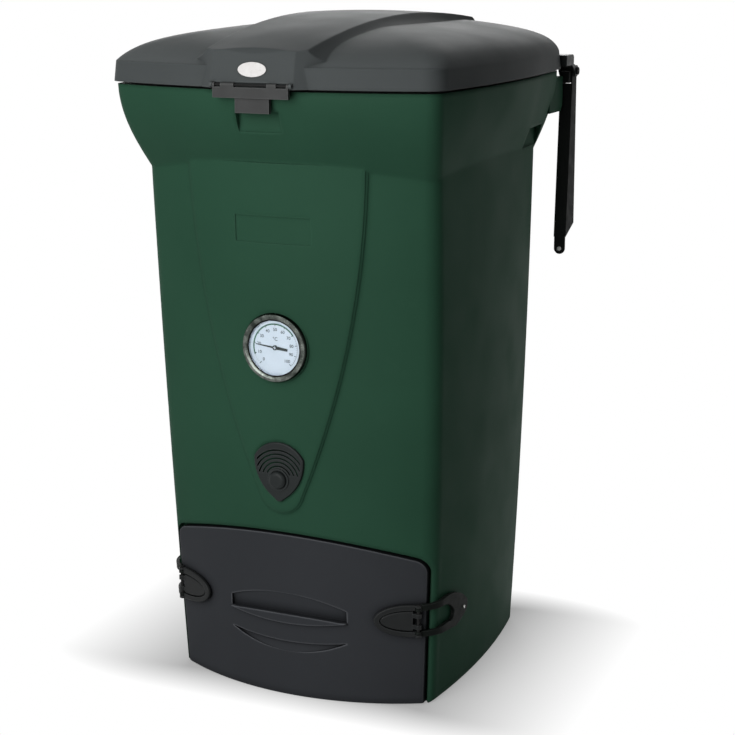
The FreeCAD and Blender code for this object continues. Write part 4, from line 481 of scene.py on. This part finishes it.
def rim_finish(centre_z, inner, outer):
    """A polished rim with painted reflections in its colour: light and dark blotches, and a dark line along
    both edges.
    """
    paint, tree, shader = new_finish("rim_chrome", metal=1.0)
    # Painted reflection: light and dark blotches stand in for what the polished rim reflects.
    reflection_blotch = spread(tree, noise(tree, 0.018, detail=3.0, rough=0.6), 0.0, 1.0, start=0.38, end=0.64)
    tone = tint(tree, reflection_blotch, RIM_REFLECTION_DARK, RIM_REFLECTION_LIGHT)
    place = tree.nodes.new("ShaderNodeTexCoord")
    from_hub = vector_step(tree, "SUBTRACT", place.outputs["Object"], (0, 0, centre_z))
    radius = vector_step(tree, "LENGTH", vector_step(tree, "MULTIPLY", from_hub, (1, 0, 1)))
    # Painted reflection: a dark line just inside the outer edge and just inside the inner edge.
    outer_edge_reflection = spread(tree, radius, 0.0, 1.0, start=outer - 0.0024, end=outer - 0.0008)
    tone = overlay(tree, outer_edge_reflection, tone, RIM_EDGE_REFLECTION)
    inner_edge_reflection = spread(tree, radius, 1.0, 0.0, start=inner + 0.0006, end=inner + 0.0022)
    tone = overlay(tree, inner_edge_reflection, tone, RIM_EDGE_REFLECTION)
    tree.links.new(tone, shader.inputs["Base Color"])
    tree.links.new(spread(tree, noise(tree, 0.003, detail=4.0), 0.16, 0.30), shader.inputs["Roughness"])
    tree.links.new(soft_edges(tree, STEEL_EDGE), shader.inputs["Normal"])
    return paint


rim_low, rim_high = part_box("thermometer_bezel")
pane_low, pane_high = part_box("thermometer_glass")
rim_chrome = rim_finish((rim_low[2] + rim_high[2]) / 2, pane_high[0] - GLASS_OVER_RIM, rim_high[0])
plain_steel = turned_steel("plain_steel", (0.55, 0.55, 0.54), rough=0.34, scratch=0.00003)
rivet_steel = turned_steel("rivet_steel", (0.45, 0.45, 0.44), rough=0.36, scratch=0.00002)
pin_black = painted_steel("pin_black", (0.020, 0.020, 0.020), rough=0.45)
arm_paint = painted_steel("arm_paint", (0.0135, 0.0150, 0.0145), rough=0.50)
for finish in (rim_chrome, plain_steel, rivet_steel, pin_black, arm_paint):
    print("made", finish.name)

# %% [markdown]
# ## The thermometer's face
# The dial is white enamel with a printed scale. The print is thin real geometry that lies on the dial: ticks,
# plain numbers from 0 to 100, the unit, and the green band of good composting heat.

# %% Dial, glass, foam and badge finishes
GLASS_CLEAR = (0.96, 0.99, 1.0, 1)
GLASS_BEND = 1.15


def enamel_white():
    paint, tree, shader = new_finish("enamel_white")
    drift = spread(tree, noise(tree, 0.02, detail=3.0), 0.0, 1.0)
    tone = tint(tree, drift, (0.425, 0.470, 0.530), (0.455, 0.500, 0.560))
    tree.links.new(tone, shader.inputs["Base Color"])
    tree.links.new(spread(tree, noise(tree, 0.004, detail=3.0), 0.28, 0.36), shader.inputs["Roughness"])
    return paint


def clear_pane():
    paint, tree, shader = new_finish("clear_pane")
    shader.inputs["Base Color"].default_value = GLASS_CLEAR
    shader.inputs["Transmission Weight"].default_value = 1.0
    shader.inputs["IOR"].default_value = GLASS_BEND
    tree.links.new(spread(tree, noise(tree, 0.01, detail=4.0), 0.0, 0.03), shader.inputs["Roughness"])
    return paint


def foam_cream():
    paint, tree, shader = new_finish("foam_cream")
    cells = spread(tree, noise(tree, 0.002, detail=3.0, rough=0.6), 0.0, 1.0)
    tree.links.new(tint(tree, cells, (0.52, 0.47, 0.33), (0.62, 0.57, 0.42)), shader.inputs["Base Color"])
    shader.inputs["Roughness"].default_value = 0.9
    tree.links.new(bump(tree, noise(tree, 0.0015, detail=3.0), 0.0006), shader.inputs["Normal"])
    return paint


def plate_white():
    paint, tree, shader = new_finish("plate_white")
    drift = spread(tree, noise(tree, 0.01, detail=4.0), 0.0, 1.0)
    tree.links.new(tint(tree, drift, (0.60, 0.58, 0.57), (0.66, 0.65, 0.64)), shader.inputs["Base Color"])
    tree.links.new(spread(tree, noise(tree, 0.004, detail=3.0), 0.24, 0.36), shader.inputs["Roughness"])
    normal = bump(tree, noise(tree, 0.0015, detail=2.0), 0.00004, soft_edges(tree, 0.0006))
    tree.links.new(normal, shader.inputs["Normal"])
    return paint


def print_ink(name, colour):
    """Ink that lies a little thicker in some places than in others."""
    paint, tree, shader = new_finish(name)
    press = spread(tree, noise(tree, 0.001, detail=3.0), 0.0, 1.0)
    tree.links.new(tint(tree, press, scaled(colour, 0.8), scaled(colour, 1.2)), shader.inputs["Base Color"])
    shader.inputs["Roughness"].default_value = 0.45
    return paint


dial_white = enamel_white()
pane = clear_pane()
foam = foam_cream()
badge_white = plate_white()
ink_dark = print_ink("ink_dark", (0.020, 0.030, 0.035))
ink_green = print_ink("ink_green", (0.014, 0.085, 0.050))
needle_black = print_ink("needle_black", (0.012, 0.020, 0.020))
for finish in (dial_white, pane, foam, badge_white, ink_dark, ink_green, needle_black):
    print("made", finish.name)

# %% Give every solid its finish
finish_of = {
    "outer_shell": body_green, "inner_liner": liner_grey, "wall_insulation": foam, "floor_grate": liner_grey,
    "drain_spout": vent_black, "drain_cap": vent_black,
    "thermometer_case": plain_steel, "thermometer_dial": dial_white, "thermometer_bezel": rim_chrome,
    "thermometer_glass": pane, "thermometer_spacer": dial_white, "thermometer_needle": needle_black,
    "thermometer_probe": plain_steel,
    "vent_cover": vent_black, "vent_knob": vent_black, "vent_shutter": vent_black, "vent_duct": vent_black,
    "vent_inner_grille": vent_black,
    "hatch_outer_panel": hatch_grey, "hatch_inner_tray": liner_grey, "hatch_insulation": foam,
    "hatch_seal": seal_black,
    "lid_outer_shell": lid_grey, "lid_badge": badge_white, "lid_latch": latch_brown,
    "lid_latch_pin": pin_black, "lid_inner_panel": liner_grey, "lid_insulation": foam, "lid_seal": seal_black,
    "latch_lever": latch_black, "latch_link": loop_black, "link_rivet": rivet_steel,
    "latch_block": latch_black, "latch_pin": pin_black, "side_catch": latch_black,
    "hinge_bracket": arm_paint, "hinge_knuckle": vent_black, "hinge_pin": pin_black,
    "stay_arm": arm_paint, "arm_tip_rivet": rivet_steel, "hinge_screw_low": plain_steel,
    "hinge_screw_high": plain_steel,
}


def dress(name, solid):
    """Right and left pieces share one finish."""
    finish = finish_of[name.replace("_right", "").replace("_left", "")]
    solid.data.materials.clear()
    solid.data.materials.append(finish)
    return finish.name


for name, solid in sorted(nodes.items()):
    print(name, "->", dress(name, solid))

# %% [markdown]
# ## Printed scale
# Zero is at the lower left and a hundred at the lower right, with fifty at the top. Each mark is a thin flat
# sliver just proud of the enamel, so it moves and lights as part of the dial.

# %% Dial sizes
ZERO_DEG = 225.0
DEG_PER_UNIT = 2.7
PRINT_LIFT = 0.00008
TICK_LIFT = 0.00012
SCALE_END = 100
NUMBER_STEP = 10
TICK_STEP = 2

dial_low, dial_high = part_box("thermometer_dial")
face_y = dial_low[1]
hub_z = (dial_low[2] + dial_high[2]) / 2


def scale_angle(value):
    """Angle of a value on the scale, from +X towards +Z."""
    return math.radians(ZERO_DEG - DEG_PER_UNIT * value)


def on_dial(radius, angle, lift=PRINT_LIFT):
    """The point at radius and angle on the dial, lift in front of the enamel."""
    return (radius * math.cos(angle), face_y - lift, hub_z + radius * math.sin(angle))


print("dial front at y", round(face_y, 4), "centre z", round(hub_z, 4))

# %% Ticks and bands
BAND_STEPS = 72
MARK_RADIUS = 0.0384
BAND_INNER = 0.0360
LINE_INNER = 0.0380
LONG_TICK_INNER = 0.0342
LONG_TICK_WIDTH = 0.0011
SHORT_TICK_INNER = 0.0362
SHORT_TICK_WIDTH = 0.0004
HEAT_FROM = 9
HEAT_TO = 71


def mesh_piece(name, points, faces, finish):
    mesh = bpy.data.meshes.new(name)
    mesh.from_pydata(points, [], faces)
    mesh.materials.append(finish)
    piece = bpy.data.objects.new(name, mesh)
    scene.collection.objects.link(piece)
    return piece


def ring_band(name, inner, outer, start, end, finish):
    """A flat band on the dial between two values of the scale."""
    points = []
    faces = []
    for i in range(BAND_STEPS + 1):
        angle = scale_angle(start + (end - start) * i / BAND_STEPS)
        points.append(on_dial(inner, angle))
        points.append(on_dial(outer, angle))
        if i:
            k = 2 * i
            faces.append((k - 2, k - 1, k + 1, k))
    band = mesh_piece(name, points, faces, finish)
    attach(band, "bin")
    return band


def ticks(name, values, inner, outer, width):
    """One flat bar across the scale for each value."""
    points = []
    faces = []
    for value in values:
        angle = scale_angle(value)
        across = (-math.sin(angle) * width / 2, math.cos(angle) * width / 2)
        for radius, side in ((inner, -1), (outer, -1), (outer, 1), (inner, 1)):
            x, y, z = on_dial(radius, angle, TICK_LIFT)
            points.append((x + across[0] * side, y, z + across[1] * side))
        k = len(points)
        faces.append((k - 4, k - 3, k - 2, k - 1))
    marks = mesh_piece(name, points, faces, ink_dark)
    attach(marks, "bin")
    return marks


numbered = range(0, SCALE_END + 1, NUMBER_STEP)
between = [v for v in range(0, SCALE_END + 1, TICK_STEP) if v % NUMBER_STEP]
heat_band = ring_band("dial_heat_band", BAND_INNER, MARK_RADIUS, HEAT_FROM, HEAT_TO, ink_green)
rim_line = ring_band("dial_rim_line", LINE_INNER, MARK_RADIUS, HEAT_TO, SCALE_END, ink_dark)
long_ticks = ticks("dial_long_ticks", numbered, LONG_TICK_INNER, MARK_RADIUS, LONG_TICK_WIDTH)
short_ticks = ticks("dial_short_ticks", between, SHORT_TICK_INNER, MARK_RADIUS, SHORT_TICK_WIDTH)
print("scale pieces:", heat_band.name, rim_line.name, long_ticks.name, short_ticks.name)

# %% Numbers
NUMBER_RADIUS = 0.0285
NUMBER_SIZE = 0.0070
UNIT_HEIGHT = 0.0135
UNIT_SIZE = 0.0078
PRINT_WEIGHT = 0.00012


def dial_text(name, words, place, size):
    """Flat letters that face the front, centred on place."""
    letters = bpy.data.curves.new(name, "FONT")
    letters.body = words
    letters.size = size
    letters.align_x = "CENTER"
    letters.align_y = "CENTER"
    letters.offset = PRINT_WEIGHT
    letters.materials.append(ink_dark)
    flat = bpy.data.objects.new(name, letters)
    scene.collection.objects.link(flat)
    flat.location = place
    flat.rotation_euler = (math.radians(90), 0, 0)
    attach(flat, "bin")
    return flat


for value in numbered:
    dial_text("dial_number_%d" % value, str(value), on_dial(NUMBER_RADIUS, scale_angle(value)), NUMBER_SIZE)
unit = dial_text("dial_unit", "°C", (0.0, face_y - PRINT_LIFT, hub_z + UNIT_HEIGHT), UNIT_SIZE)
print("numbers from 0 to", SCALE_END, "and", unit.data.body)

# %% [markdown]
# ## Needle's pointer and tail
# A broader pointer and a wide tail lie on the needle, and a small bright cross on the hub is the slot that it
# is set with. All of it turns with the needle.

# %% Needle's tail, pointer and hub cross
NEEDLE_REST_DEG = 173.6
BAR_T = 0.0008
BAR_LIFT = 0.0006
BAR_START = 0.003
TAIL_END = 0.0215
TAIL_HALF_W = 0.0024
TAIL_TIP = 0.85
POINTER_END = 0.0335
POINTER_HALF_W = 0.0015
POINTER_TIP = 0.35
CROSS_END = 0.0024
CROSS_HALF_W = 0.0005
CROSS_PROUD = 0.0002
CROSS_T = 0.0003

needle_low, needle_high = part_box("thermometer_needle")
tail_angle = math.atan2(-math.sin(math.radians(NEEDLE_REST_DEG)), -math.cos(math.radians(NEEDLE_REST_DEG)))
bar_front = needle_low[1] + BAR_LIFT
cross_front = needle_low[1] - CROSS_PROUD


def turned_bar(name, start, end, half_w, angle, front_y, thick, finish, tip=1.0):
    """A thin closed bar from start to end metres out along angle; at its end it is tip times as wide."""
    out_x, out_z = math.cos(angle), math.sin(angle)
    points = []
    for y in (front_y, front_y + thick):
        for reach, side in ((start, -1), (end, -tip), (end, tip), (start, 1)):
            aside = half_w * side
            points.append((out_x * reach - out_z * aside, y, hub_z + out_z * reach + out_x * aside))
    faces = [(0, 1, 2, 3), (7, 6, 5, 4), (0, 4, 5, 1), (1, 5, 6, 2), (2, 6, 7, 3), (3, 7, 4, 0)]
    bar = mesh_piece(name, points, faces, finish)
    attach(bar, "needle")
    return bar


tail = turned_bar("needle_tail", BAR_START, TAIL_END, TAIL_HALF_W, tail_angle, bar_front, BAR_T,
                  needle_black, TAIL_TIP)
pointer = turned_bar("needle_pointer", BAR_START, POINTER_END, POINTER_HALF_W, tail_angle + math.pi,
                     bar_front, BAR_T, needle_black, POINTER_TIP)
cross_a = turned_bar("hub_cross_a", -CROSS_END, CROSS_END, CROSS_HALF_W, tail_angle, cross_front, CROSS_T,
                     dial_white)
cross_b = turned_bar("hub_cross_b", -CROSS_END, CROSS_END, CROSS_HALF_W, tail_angle + math.pi / 2,
                     cross_front, CROSS_T, dial_white)
slots = ((tail, "needle_black"), (pointer, "needle_black"), (cross_a, "dial_white"), (cross_b, "dial_white"))
for piece, slot in slots:
    print("made", piece.name)
